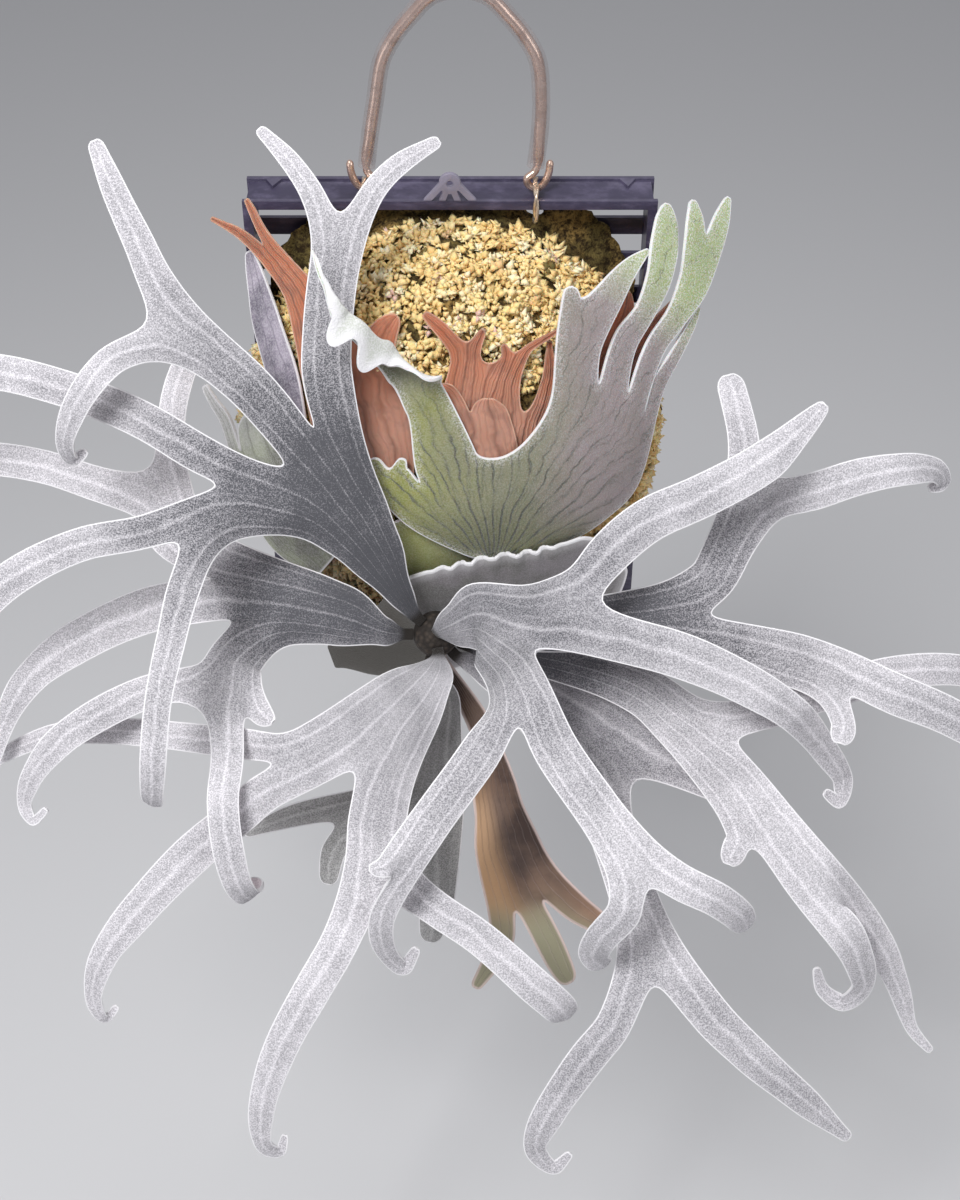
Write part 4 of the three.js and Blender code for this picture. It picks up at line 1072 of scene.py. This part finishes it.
green = green_finish("green_shield_leaf", 22, 1.0)
young_green = green_finish("young_shield_leaf", 26, 0.0)
felted_back = felted_back_finish()
smooth_leaf = shield("shield_smooth_leaf", smooth_shield, SMOOTH_LAYER, SHIELD_THICKNESS,
                     (young_green, felted_back))
hand_over(smooth_leaf, "shield_smooth")
green_leaf = shield("shield_green_leaf", green_shield, GREEN_LAYER, SHIELD_THICKNESS,
                    (green, felted_back), 2)
hand_over(green_leaf, "shield_green")


# The collar: the newest shield leaf, thick and felted, with a crimped white margin. It grows from the crown
# and folds close under it, over the feet of the green leaves.
COLLAR_LAYER = 7.3
COLLAR_GREY = (0.20, 0.184, 0.196, 1)
COLLAR_SHADE = (0.118, 0.113, 0.108, 1)
COLLAR_END_SHADE = (0.085, 0.078, 0.060, 1)
CRIMP_LENGTH = 8
CRIMP_DEPTH = 1.3
CRIMP_DRIFT = 9
CRIMP_COLUMNS = 1.6
CRIMPED_FROM, CRIMPED_TO = 48, 104
CRIMP_FADES_OVER = 10

collar_shield = lobe(
    [[-44, -14, 0, 10], [-24, -9, 0, 25.5], [-3, -1, 0, 40], [21, 6, 0, 38], [43, 11, 1, 35],
     [60, 18, 2, 31], [74, 24, 4, 17]],
    columns=8)
collar_shield["row_step"] = 2


def crimp(mesh):
    """The upper margin waves in and out where it was squeezed between the crown and the leaf behind."""
    columns, along = (mesh.attributes[key].data for key in ("column", "along"))
    for vert in mesh.vertices:
        near = max(0, 1 - columns[vert.index].value / CRIMP_COLUMNS)
        travelled = along[vert.index].value
        inside = min(travelled - CRIMPED_FROM, CRIMPED_TO - travelled)
        ends = min(1, max(0, inside / CRIMP_FADES_OVER))
        wave = math.sin(math.tau * travelled / CRIMP_LENGTH + math.sin(travelled / CRIMP_DRIFT))
        vert.co += vert.normal * (wave * near ** 1.5 * ends * CRIMP_DEPTH * MM)


def collar_finish():
    finish = Finish("collar_leaf", Roughness=0.6, Sheen_Weight=0.25, Specular_IOR_Level=0.3)
    margin = finish.attribute("margin")
    clouds = finish.place.grain(16 * MM, 3).fades(0.35, 0.65)
    felt = finish.place.grain(0.6 * MM, 2, 0.7).fades(0.36, 0.68)
    body = (felt * 0.12).between(clouds.between(COLLAR_SHADE, COLLAR_GREY), FELT_WHITE)
    body = (margin.fades(6, 1) * 0.3).between(body, FELT_WHITE)
    # Painted shade: the collar's first 34 to 50 millimetres, at its left end by the crown, are painted
    # dark, and its white margin line stops there.
    clear_of_end_shade = finish.attribute("along").fades(34, 50)
    body = (clear_of_end_shade * 0.9 + 0.1).between(COLLAR_END_SHADE, body)
    finish.paint("Base Color", (margin.fades(1.5, 0.6) * clear_of_end_shade).between(body, FELT_WHITE))
    finish.relief(felt, 0.1 * MM)
    return finish.material


collar_paint = collar_finish()
collar = shield("shield_collar_leaf", collar_shield, COLLAR_LAYER, SHIELD_THICKNESS,
                (collar_paint, collar_paint), 2, crimp)
hand_over(collar, "shield_collar")


# The rhizome: the short creeping stem that all the leaves grow from, covered in papery brown scales.
# It sits in the moss, and the fronds' stalks rise from it.
SCALE_SIZE = 2.2 * MM
# The scales are painted near-black: their own brown, darkened as painted shade under the crown.
SCALE_BROWN_IN_SHADE = (0.018, 0.013, 0.010, 1)
SCALE_PALE_IN_SHADE = (0.050, 0.037, 0.028, 1)


def rhizome_finish():
    finish = Finish("rhizome_scales", Roughness=0.8)
    inputs = {"Vector": finish.place, "Scale": 1 / SCALE_SIZE}
    scales = finish.place.node("ShaderNodeTexVoronoi", {}, inputs)
    finish.paint("Base Color", scales.fades(0.1, 0.7).between(SCALE_PALE_IN_SHADE, SCALE_BROWN_IN_SHADE))
    finish.relief(1 - scales, 0.8 * MM)
    return finish.material


rhizome = merged_copy("rhizome", "rhizome_scaly")
apply_modifier(rhizome, "SUBSURF", levels=2, render_levels=2)
rhizome.data.materials.append(rhizome_finish())
smooth_by_angle(rhizome, 80)
hand_over(rhizome, "rhizome")


# The fronds: the long antler leaves. Each stands on the rhizome by a short stalk and forks two or three
# times. A dense felt of white star hairs covers both faces, thickest on the margins and over the veins.
FROND_THICKNESS = 1.25
OLD_FROND_THICKNESS = 1.1
DYING_FROND_THICKNESS = 0.9
FROND_ARCH = 0.07
STALK_WIDTH = 4
STALK_LENGTH = 4
RHIZOME_CENTRE = Vector((0, -4, -16.9))
RHIZOME_RADIUS = 9
CLEARANCE = 0.3
HAIR_WHITE = (0.81, 0.785, 0.825, 1)
SKIN_GREY = (0.095, 0.096, 0.108, 1)
STALK_PAINTED_SHADE = (0.03, 0.026, 0.023, 1)
OLD_HAIR = (0.60, 0.59, 0.595, 1)
OLD_SKIN = (0.115, 0.12, 0.112, 1)
UNDER_HAIR = (0.86, 0.77, 0.80, 1)
UNDER_SKIN = (0.42, 0.35, 0.38, 1)

upper_left_frond = lobe(
    [[-14, 13, 4, 11], [-22, 27, 16, 22], [-32, 41, 27, 31.5]],
    lobe([[-64, 44, 39, 26]],
         lobe([[-76, 37, 46, 21]],
              lobe([[-83, 17, 58, 11.5], [-87, -4, 68, 10], [-91, -25, 71, 9], [-93, -45, 69, 9],
                    [-95, -57, 60, 8], [-97, -62, 48, 7]]),
              lobe([[-96, 33, 54, 11.5], [-120, 28, 58, 11.5], [-144, 16, 58, 12.5], [-168, -5, 46, 12]])),
         lobe([[-79, 59, 45, 13.5], [-101, 72, 48, 13], [-129, 83, 49, 12.5], [-158, 89, 46, 12.5],
               [-177, 84, 40, 10.5]])),
    lobe([[-59, 79, 47, 16], [-72, 91, 52, 16.5], [-83, 99, 57, 19]],
         lobe([[-103, 93, 66, 10.5], [-113, 84, 68, 10], [-121, 73, 64, 9], [-126, 63, 55, 6.5],
               [-125, 58, 47, 5], [-120, 61, 47, 3]]),
         lobe([[-92, 115, 62, 12.5], [-98, 129, 65, 10.5], [-106, 146, 66, 8.8], [-114, 165, 64, 5.5]])),
    lobe([[-36, 84, 46, 17.5], [-36, 103, 49, 17], [-34, 120, 52, 17], [-32, 129, 55, 17]],
         lobe([[-38.5, 144, 58, 8.5], [-47, 158, 59, 7], [-59, 171, 56, 4]]),
         lobe([[-23, 144, 58, 8.5], [-12, 157, 59, 7.5], [3, 167, 56, 4.5]])))

left_frond = lobe(
    [[-19, -3, -4, 10.5], [-34, 3, 1, 23], [-51, 7, 5, 28.5]],
    lobe([[-71, -11, 17, 19.5], [-74, -19, 22, 22.5]],
         lobe([[-62.5, -31, 26, 9.5], [-57, -35, 28.5, 5.5]]),
         lobe([[-72, -44, 36, 11.5], [-73, -61, 45, 11], [-71, -78, 46, 11], [-68, -93, 38, 10],
               [-65, -97, 30, 8], [-64, -91, 24, 6.5]]),
         lobe([[-95, -21, 27, 12], [-116, -30, 30, 12], [-134, -42, 30, 11], [-146, -56, 22, 8],
               [-150, -67, 14, 5], [-147, -72, 14, 3.5], [-141, -67, 18, 2.5]])),
    lobe([[-95, 8, 10, 17], [-130, -6, 15, 15.5], [-149, -21, 15, 11.5], [-159, -37, 10, 8],
          [-164, -52, 6, 5]]),
    lobe([[-95, 32, 1, 21], [-101, 45, -2, 22.5]],
         lobe([[-122, 50, -3, 12.5], [-146, 59, -6, 12.5], [-173, 63, -9, 12.5], [-190, 62, -14, 10]]),
         lobe([[-100, 67, -7, 10], [-99, 89, -13, 10.5], [-93, 106, -20, 9.5], [-84, 114, -26, 6]])))

lower_left_frond = lobe(
    [[-1, -19, 4, 17], [-9, -28, 13, 28], [-17, -37, 22, 35.5]],
    lobe([[-19, -66, 38, 20.5], [-19, -81, 45, 21]],
         lobe([[-2, -95, 50, 12], [17, -108, 51, 12], [36, -125, 50, 12.5], [45, -134, 44, 12],
               [48, -139, 36, 9]]),
         lobe([[-29, -104, 51, 13], [-40, -124, 52, 13], [-52, -146, 48, 12], [-60, -170, 40, 9.5],
               [-60, -186, 32, 6], [-55, -189, 28, 4], [-53, -183, 28, 2.5]])),
    lobe([[-43, -47, 33, 22]],
         lobe([[-57, -57, 34.5, 14], [-67, -66, 35, 13.5], [-86, -82, 33, 14.5], [-106, -103, 31, 13],
               [-119, -120, 26, 10], [-124, -137, 18, 6], [-121, -145, 12, 3.5], [-117, -141, 10, 2.5]]),
         lobe([[-62, -43, 29.5, 11.5], [-75, -42, 26, 11], [-100, -40, 17, 10], [-123, -39, 12, 9.5],
               [-141, -41, 7, 8], [-160, -48, -3, 6], [-176, -57, -13, 3.5]])))

front_frond = lobe(
    [[8, -1, 11, 16], [17, 2, 20, 27.5], [25, -2, 29, 35]],
    lobe([[46, 5, 41, 26]],
         lobe([[60, 24, 43, 15.5], [76, 37, 45, 15.5], [94, 45, 48, 15], [116, 57, 50, 14.5],
               [127, 67, 50, 10], [137, 77, 50, 5]]),
         lobe([[62, -4, 46, 16], [86, -10, 50, 16], [109, -20, 49, 14.5], [127, -31, 43, 12.5],
               [142, -46, 24, 10], [150, -57, 15, 7.5], [149, -65, 13, 5], [143, -61, 15, 3.5]])),
    lobe([[30, -21, 54, 21.5]],
         lobe([[40, -37, 63, 15.5], [57, -62, 72, 15.5], [67, -76, 76, 18]],
              lobe([[81, -83, 79, 12], [95, -90, 78, 11.5], [104, -97, 70, 11], [108, -103, 60, 8]]),
              lobe([[66, -92, 77, 12], [58, -105, 67, 11], [56, -113, 56, 10.5], [60, -119, 46, 9]])),
         lobe([[20, -38, 65, 14], [2, -63, 71, 14], [-6, -74, 74, 14.5]],
              lobe([[-15, -94, 65, 9], [-17, -108, 53, 8.5], [-14, -117, 43, 6.5], [-10, -121, 38, 5.5],
                    [-5, -113, 42, 3.5]]),
              lobe([[-14.5, -80, 75, 8], [-20, -80.5, 74, 3.5]]))))

right_frond = lobe(
    [[32, -3, -4, 15], [58, 0, 6, 20], [80, 2, 13, 23.5]],
    lobe([[100, 15, 17, 17], [108, 29, 18, 17.5], [115, 43, 18, 21]],
         lobe([[114, 62, 17, 11.5], [111, 80, 15, 10.5], [108, 92, 13, 10]]),
         lobe([[133, 46, 24, 13.5], [152, 53, 28, 13], [170, 56, 28, 11.5], [183, 56, 20, 9],
               [187, 52, 14, 6], [182, 50, 12, 3.5]])),
    lobe([[116, -9, 19, 18], [135, -14, 27, 20]],
         lobe([[160, -23, 44, 14.5], [180, -31, 43, 13.5], [202, -43, 34, 11.5]]),
         lobe([[143, -33, 51, 8.5], [141, -41, 53, 8.5]])))

lower_right_frond = lobe(
    [[32, -12, -17, 12.5], [57, -17, -6, 16], [78, -25, 9, 18.5], [92, -37, 20, 21]],
    lobe([[116, -32, 25, 12.5], [141, -25, 20, 13], [167, -18, 16, 12.5], [195, -17, 8, 11.5],
          [217, -25, -4, 9]]),
    lobe([[109, -59, 36, 21.5], [115, -69, 41, 24]],
         lobe([[127, -80, 47, 19.5], [133, -88, 48, 21]],
              lobe([[150, -100, 36, 12], [161, -116, 28, 11.5], [170, -133, 18, 8], [177, -150, 8, 4.5],
                    [185, -159, 4, 3]]),
              lobe([[141, -103, 52, 14], [150, -118, 44, 11], [153, -129, 34, 8], [148, -136, 26, 6.5],
                    [140, -131, 28, 5], [137, -122, 32, 3]])),
         lobe([[107, -76, 44, 9.5], [104, -84, 44, 8]])))

bottom_right_frond = lobe(
    [[25, -20, -26, 16.5], [44, -33, -19, 28.5], [60, -45, -9, 35.5]],
    lobe([[96, -55, 2, 15], [114, -65, 6, 9.5]]),
    lobe([[64, -72, 14, 17], [69, -88, 29, 16.5], [74, -104, 38, 17.5]],
         lobe([[94, -132, 43, 14.5], [111, -150, 41, 13.5], [131, -168, 34, 11], [150, -185, 26, 4.5]]),
         lobe([[66, -136, 43, 12.5], [54, -154, 38, 13], [41, -176, 30, 11.5], [37, -190, 22, 8],
               [44, -198, 18, 5], [50, -192, 20, 3]])))

hanging_frond = lobe(
    [[1, -30, -20, 17], [-2, -47, -19, 24.5], [-3, -61, -20, 30]],
    lobe([[1, -88, -24, 17], [0, -109, -32, 14], [-3, -127, -42, 9]]),
    lobe([[-24, -70, -15, 17]],
         lobe([[-38, -85, -17, 10], [-42, -101, -22, 7.5]]),
         lobe([[-50, -72, -16, 10], [-74, -81, -20, 4.5]])))

dying_frond = lobe(
    [[18, -42, -26, 9.5], [23.5, -67, -8, 18], [28, -87, -2, 26]],
    lobe([[50, -104, 0, 12], [61, -112, -3, 9], [71, -119, -6, 5]]),
    lobe([[42, -117, 0, 10.5], [46, -126, -3, 10], [51, -136, -6, 7.5]]),
    lobe([[26, -115, -4, 10], [22, -127, -8, 7.5], [15, -139, -12, 4.5]]))


def felt_finish(name, hair, skin, cover, crown_shade, shaded_to):
    """Star hairs over grey skin: thickest on the margins and over each tip's vein, speckled less near the
    crown, where shade is painted.

    The cover says how much hair there is and how light the frond is painted, crown_shade how much painted
    shade darkens the felt near the crown, and shaded_to how many millimetres along the frond that painted
    shade ends.
    """
    finish = Finish(name, Roughness=0.8, Sheen_Weight=0.2, Sheen_Roughness=0.4, Specular_IOR_Level=0.15)
    column, margin, along = leaf_places(finish)
    wander = finish.place.grain(16 * MM, 2) - 0.5
    veins = (column * 0.25 + wander * 0.25).maths("PINGPONG", 0.5).fades(0.37, 0.49)
    threads = (column * 0.75 + wander).maths("PINGPONG", 0.5).fades(0.33, 0.5)
    inside = margin.fades(1.0, 3.0)
    hairs = finish.place.grain(0.5 * MM, 2, 0.7).fades(0.36, 0.64)
    patches = finish.place.grain(20 * MM, 3, 0.6).fades(0.3, 0.7)
    tone = (hairs - 0.5) * (along.fades(10, 110) * 0.22 + 0.24) + margin.fades(4, 0.4) * 0.1
    tone = tone + veins * inside * 0.16 + threads * inside * 0.08
    # Painted shade: the felt darkens towards the crown, as far as shaded_to, and lightens further out along
    # the frond.
    tone = tone + patches * 0.16 + along.fades(60, 150) * 0.1 - along.fades(shaded_to, 45) * crown_shade
    body = (tone + cover).maths("MAXIMUM", 0.0).between(skin, hair)
    # Painted shade: the stalk, down at the crown, is painted near-black.
    body = along.fades(9, 3).between(body, STALK_PAINTED_SHADE)
    edge = margin.fades(0.6, 0.3) * along.fades(6, 16)
    finish.paint("Base Color", edge.between(body, FELT_WHITE))
    finish.relief(hairs * 0.5 + veins * inside * 0.8 + margin.fades(1.4, 0.4), 0.2 * MM)
    return finish.material


def frond(name, leaf, direction, materials, thickness=FROND_THICKNESS):
    """A frond on a short stalk that stands on the rhizome in that direction: right, up, out."""
    outward = Vector(direction).normalized()
    stalk = [(*(RHIZOME_CENTRE + outward * (RHIZOME_RADIUS + CLEARANCE + height)), STALK_WIDTH)
             for height in (0, STALK_LENGTH)]
    sheet = grow_leaf({**leaf, "line": [*stalk, *leaf["line"]]}, FROND_ARCH)
    return leaf_piece(name, sheet, thickness, materials)


# Copies of one felt with painted light: each frond's felt is painted lit, dim or shaded, as the light falls
# on that frond.
lit_silver = felt_finish("bright_silver_felt", HAIR_WHITE, SKIN_GREY, 0.42, 0.06, 110)
silver = felt_finish("silver_felt", HAIR_WHITE, SKIN_GREY, 0.385, 0.24, 150)
dimly_lit_silver = felt_finish("dim_silver_felt", HAIR_WHITE, SKIN_GREY, 0.29, 0.1, 110)
shaded_silver = felt_finish("shaded_silver_felt", HAIR_WHITE, SKIN_GREY, 0.36, 0.52, 165)
long_shaded_silver = felt_finish("long_shaded_felt", HAIR_WHITE, SKIN_GREY, 0.36, 0.52, 200)
half_shaded_silver = felt_finish("half_shaded_felt", HAIR_WHITE, SKIN_GREY, 0.40, 0.48, 98)
pink_under = felt_finish("pale_underside", UNDER_HAIR, UNDER_SKIN, 0.57, 0.3, 110)
old_felt = felt_finish("thin_grey_felt", OLD_HAIR, OLD_SKIN, 0.37, 0.15, 110)

DEAD_BROWN_AND_SHADE = (0.040, 0.018, 0.012, 1)
DYING_TAN = (0.43, 0.255, 0.13, 1)
DYING_BROWN = (0.31, 0.19, 0.125, 1)
DYING_GREEN = (0.25, 0.235, 0.155, 1)
DYING_EDGE = (0.62, 0.50, 0.47, 1)


def dying_finish():
    finish = Finish("dying_frond_skin", Roughness=0.6, Sheen_Weight=0.2)
    column, margin, along = leaf_places(finish)
    veins = (column * 0.75 + finish.place.grain(9 * MM, 2) * 0.5).maths("PINGPONG", 0.5).fades(0.13, 0.0)
    clouds = finish.place.grain(16 * MM, 4, 0.6).fades(0.36, 0.66)
    left_side = column.fades(5, 10)
    # Nearer the crown than 90 to 125 millimetres the frond is painted near-black: dead brown, and painted
    # shade under the crown.
    body = (clouds * 0.3 + along.fades(90, 125) * 0.6).between(DEAD_BROWN_AND_SHADE, DYING_BROWN)
    body = (left_side * along.fades(52, 80) * 0.85).between(body, DYING_TAN)
    body = (along.fades(98, 124) * column.fades(1, 5)).between(body, DYING_GREEN)
    body = (veins * 0.1).between(body, DYING_EDGE)
    finish.paint("Base Color", (margin.fades(1.4, 0.4) * 0.85).between(body, DYING_EDGE))
    finish.relief(veins, 0.2 * MM)
    return finish.material


dying = dying_finish()

# Each frond's node, its form, which way its stalk stands on the rhizome, and its upper face's finish, with
# the painted light that this frond gets.
FRONDS = (
    ("frond_upper_left", upper_left_frond, (-0.55, 0.5, 0.67), long_shaded_silver),
    ("frond_left", left_frond, (-0.93, 0, 0.36), half_shaded_silver),
    ("frond_lower_left", lower_left_frond, (0.1, -0.62, 0.78), lit_silver),
    ("frond_front", front_frond, (0.05, 0.05, 1), silver),
    ("frond_right", right_frond, (0.85, 0.2, 0.45), shaded_silver),
    ("frond_lower_right", lower_right_frond, (0.93, -0.35, -0.05), half_shaded_silver),
    ("frond_bottom_right", bottom_right_frond, (0.6, -0.66, -0.45), dimly_lit_silver),
)
for node, leaf, direction, felt in FRONDS:
    hand_over(frond(node + "_leaf", leaf, direction, (felt, pink_under)), node)
hanging_leaf = frond("frond_hanging_leaf", hanging_frond, (-0.2, -0.93, -0.3), (old_felt, old_felt),
                     OLD_FROND_THICKNESS)
hand_over(hanging_leaf, "frond_hanging")
dying_leaf = frond("frond_dying_leaf", dying_frond, (0.15, -0.72, -0.68), (dying, dying),
                   DYING_FROND_THICKNESS)
hand_over(dying_leaf, "frond_dying")


# The loose moss: dried sprigs of sphagnum, yellow to cream, tucked over the mound wherever it is open.
# Each is a tuft of six bent leaflets on the imported moss, and those below the crown are painted dark as
# shade.
LEAFLETS = 6
LEAFLET_LENGTH = 4.5
LEAFLET_SIZES = (0.65, 1.2)
LEAFLET_WIDTHS = (0.8, 1.4)
LEAFLET_TURN = 0.5
LEAFLET_RISES = (0.1, 1.25)
LEAFLET_ROLL = 0.8
SPRIG_SHAPES = 9
SPRIG_SHARE = 0.395
SPRIG_SIZES = (0.75, 1.2)
SPRIG_LIFTS = (-0.6, 0.3)
SPRIG_LEAN = 0.5
SPRIG_SEED = 3
TINT_MIDDLE = 0.52
TINT_SPREAD = 0.22
LEAF_ROOM = 3.6
FACES_BACK = 0.35
TRAY_DEPTH_SEEN = 3
LIP_BAND = -1.5
LIP_SHARE = 0.3
MOSS_GOLD = (0.73, 0.48, 0.20, 1)
MOSS_YELLOW = (0.92, 0.67, 0.31, 1)
MOSS_CREAM = (0.97, 0.83, 0.57, 1)
MOSS_PINK = (0.74, 0.50, 0.42, 1)
MOSS_BROWN = (0.27, 0.16, 0.07, 1)
MOSS_CROWN_SHADE = (0.13, 0.11, 0.065, 1)
CROWN_SHADE_FROM = -186 * MM
CROWN_SHADE_BELOW = -210 * MM

# A leaflet one long, from its foot to its tip, with its sides, its ridge and its belly halfway.
LEAFLET_POINTS = np.array([(0, 0, 0), (1, 0, -0.12), (0.5, 0.3, 0.06), (0.5, -0.3, 0.06), (0.55, 0, 0.22),
                           (0.45, 0, -0.02)])
LEAFLET_FACES = np.array([(0, 3, 4), (3, 1, 4), (1, 2, 4), (2, 0, 4),
                          (3, 0, 5), (1, 3, 5), (2, 1, 5), (0, 2, 5)])


def sprig_shapes(chance):
    """Some tufts, each as its points and its triangles."""
    shapes = []
    for _ in range(SPRIG_SHAPES):
        points = []
        for k in range(LEAFLETS):
            around = math.tau * k / LEAFLETS + chance.uniform(-LEAFLET_TURN, LEAFLET_TURN)
            turn = (Matrix.Rotation(around, 3, "Z")
                    @ Matrix.Rotation(-chance.uniform(*LEAFLET_RISES), 3, "Y")
                    @ Matrix.Rotation(chance.uniform(-LEAFLET_ROLL, LEAFLET_ROLL), 3, "X"))
            size = LEAFLET_LENGTH * chance.uniform(*LEAFLET_SIZES)
            points.append(LEAFLET_POINTS * (size, size * chance.uniform(*LEAFLET_WIDTHS), size)
                          @ np.array(turn.transposed()))
        faces = np.concatenate([LEAFLET_FACES + len(LEAFLET_POINTS) * k for k in range(LEAFLETS)])
        shapes.append((np.concatenate(points), faces))
    return shapes


def sphagnum_finish():
    finish = Finish("sphagnum_sprigs", Roughness=0.85, Specular_IOR_Level=0.2, Subsurface_Weight=0.2,
                    Subsurface_Scale=0.002)
    tint, reach = finish.attribute("tint"), finish.attribute("reach")
    drifts = finish.place.grain(14 * MM, 2).fades(0.35, 0.65)
    body = (tint * 0.8 + drifts * 0.2).fades(0.1, 0.5).between(MOSS_GOLD, MOSS_YELLOW)
    body = (tint * 0.85 + drifts * 0.15).fades(0.5, 0.85).between(body, MOSS_CREAM)
    body = tint.fades(0.10, 0.04).between(body, MOSS_PINK)
    body = tint.fades(0.96, 0.99).between(body, MOSS_OLIVE)
    body = (reach.fades(0.4, 0.0) * 0.28).between(body, MOSS_BROWN)
    # Painted shade: sprigs lower than the crown are painted dark.
    under_crown_shade = finish.place.axis(2).fades(CROWN_SHADE_FROM, CROWN_SHADE_BELOW)
    finish.paint("Base Color", (under_crown_shade * 0.8).between(body, MOSS_CROWN_SHADE))
    finish.relief(finish.place.grain(0.7 * MM, 3, 0.7), 0.3 * MM)
    return finish.material


def scatter_sprigs(name, pieces_nearby, chance):
    """Sprigs all over the open moss: none where a leaf lies on it, and few along the tray's lip."""
    graph = bpy.context.evaluated_depsgraph_get()
    leaves = [BVHTree.FromObject(piece, graph) for piece in pieces_nearby]
    shapes = sprig_shapes(chance)
    points, faces, tints, reaches = [], [], [], []
    for face in moss.data.polygons:
        place, normal = face.center, face.normal
        inside = place.y / MM - BOARD_FRONT
        if chance.random() > SPRIG_SHARE or normal.y > FACES_BACK or inside > TRAY_DEPTH_SEEN:
            continue
        if inside > LIP_BAND and chance.random() > LIP_SHARE:
            continue
        if any(leaf.find_nearest(place + normal * MM, LEAF_ROOM * MM)[0] for leaf in leaves):
            continue
        shape, triangles = chance.choice(shapes)
        turn = (normal.to_track_quat("Z", "Y").to_matrix()
                @ Matrix.Rotation(chance.uniform(0, math.tau), 3, "Z")
                @ Matrix.Rotation(chance.uniform(-SPRIG_LEAN, SPRIG_LEAN), 3, "X"))
        size = chance.uniform(*SPRIG_SIZES) * MM
        at = place + normal * chance.uniform(*SPRIG_LIFTS) * MM
        faces.append(triangles + len(shape) * len(points))
        points.append(shape @ np.array(turn.transposed()) * size + np.array(at))
        tint = min(1, max(0, chance.gauss(TINT_MIDDLE, TINT_SPREAD)))
        tints.append(np.repeat([tint], len(shape)))
        reaches.append(np.tile(LEAFLET_POINTS[:, 0], LEAFLETS))
    mesh = bpy.data.meshes.new(name)
    mesh.from_pydata(np.concatenate(points).tolist(), [], np.concatenate(faces).tolist())
    store(mesh, "tint", np.concatenate(tints))
    store(mesh, "reach", np.concatenate(reaches))
    smooth_all_over(mesh)
    return in_scene(name, mesh)


shield_leaves = [o for o in bpy.data.objects if o.name.startswith("shield_") and o.name.endswith("_leaf")]
sprigs = scatter_sprigs("moss_crumbs", [*shield_leaves, board], random.Random(SPRIG_SEED))
sprigs.data.materials.append(sphagnum_finish())
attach(sprigs, "root")


# The studio: a plain pale floor well below the hanging plant, broad soft lights round it, and a camera that
# looks down on its face as the photograph does.
LENS = 54
SENSOR_WIDTH = 36
NEAREST_SEEN = 0.01
CAMERA_DISTANCE = 0.675
CAMERA_HEIGHT_ANGLE = math.radians(40)
LOOK_AT = Vector((7.2, -91.2, -194.1)) * MM
FLOOR_BELOW = 0.30
FLOOR_SIZE = 60
FLOOR_PALE = (0.62, 0.62, 0.63, 1)
SKY_PALE = (0.94, 0.95, 1, 1)
SKY_STRENGTH = 0.35

# Each light's name, its place in metres, its power in watts and its width in metres.
LIGHTS = (
    ("key", (-0.35, -0.75, 0.85), 15, 0.4),
    ("fill_right", (0.9, -0.6, 0.2), 2.4, 0.6),
    ("top", (0.1, 0.3, 0.9), 3.5, 0.5),
    ("low_left", (-0.8, -0.6, -0.2), 1.6, 0.6),
)

camera_data = bpy.data.cameras.new("camera")
camera_data.lens = LENS
camera_data.sensor_width = SENSOR_WIDTH
camera_data.clip_start = NEAREST_SEEN
camera = in_scene("camera", camera_data)
towards = Vector((0, -math.cos(CAMERA_HEIGHT_ANGLE), math.sin(CAMERA_HEIGHT_ANGLE)))
camera.location = LOOK_AT + towards * CAMERA_DISTANCE
camera.rotation_euler = (math.pi / 2 - CAMERA_HEIGHT_ANGLE, 0, 0)
bpy.context.scene.camera = camera

bpy.ops.mesh.primitive_plane_add(size=FLOOR_SIZE, location=(0, 0, cad_bounds[0][2] - FLOOR_BELOW))
floor = bpy.context.object
floor.name = "floor"
bpy.ops.object.transform_apply()
floor_finish = Finish("pale_floor", Roughness=0.8)
floor_finish.shader.inputs["Base Color"].default_value = FLOOR_PALE
floor.data.materials.append(floor_finish.material)

for name, place, power, width in LIGHTS:
    lamp = bpy.data.lights.new(name, "AREA")
    lamp.energy = power
    lamp.size = width
    light = in_scene(name, lamp)
    light.location = place
    light.rotation_euler = (LOOK_AT - light.location).to_track_quat("-Z", "Y").to_euler()

world = bpy.data.worlds.new("studio")
world.use_nodes = True
sky = world.node_tree.nodes["Background"]
sky.inputs["Color"].default_value = SKY_PALE
sky.inputs["Strength"].default_value = SKY_STRENGTH
bpy.context.scene.world = world
bpy.context.scene.view_settings.view_transform = "Standard"
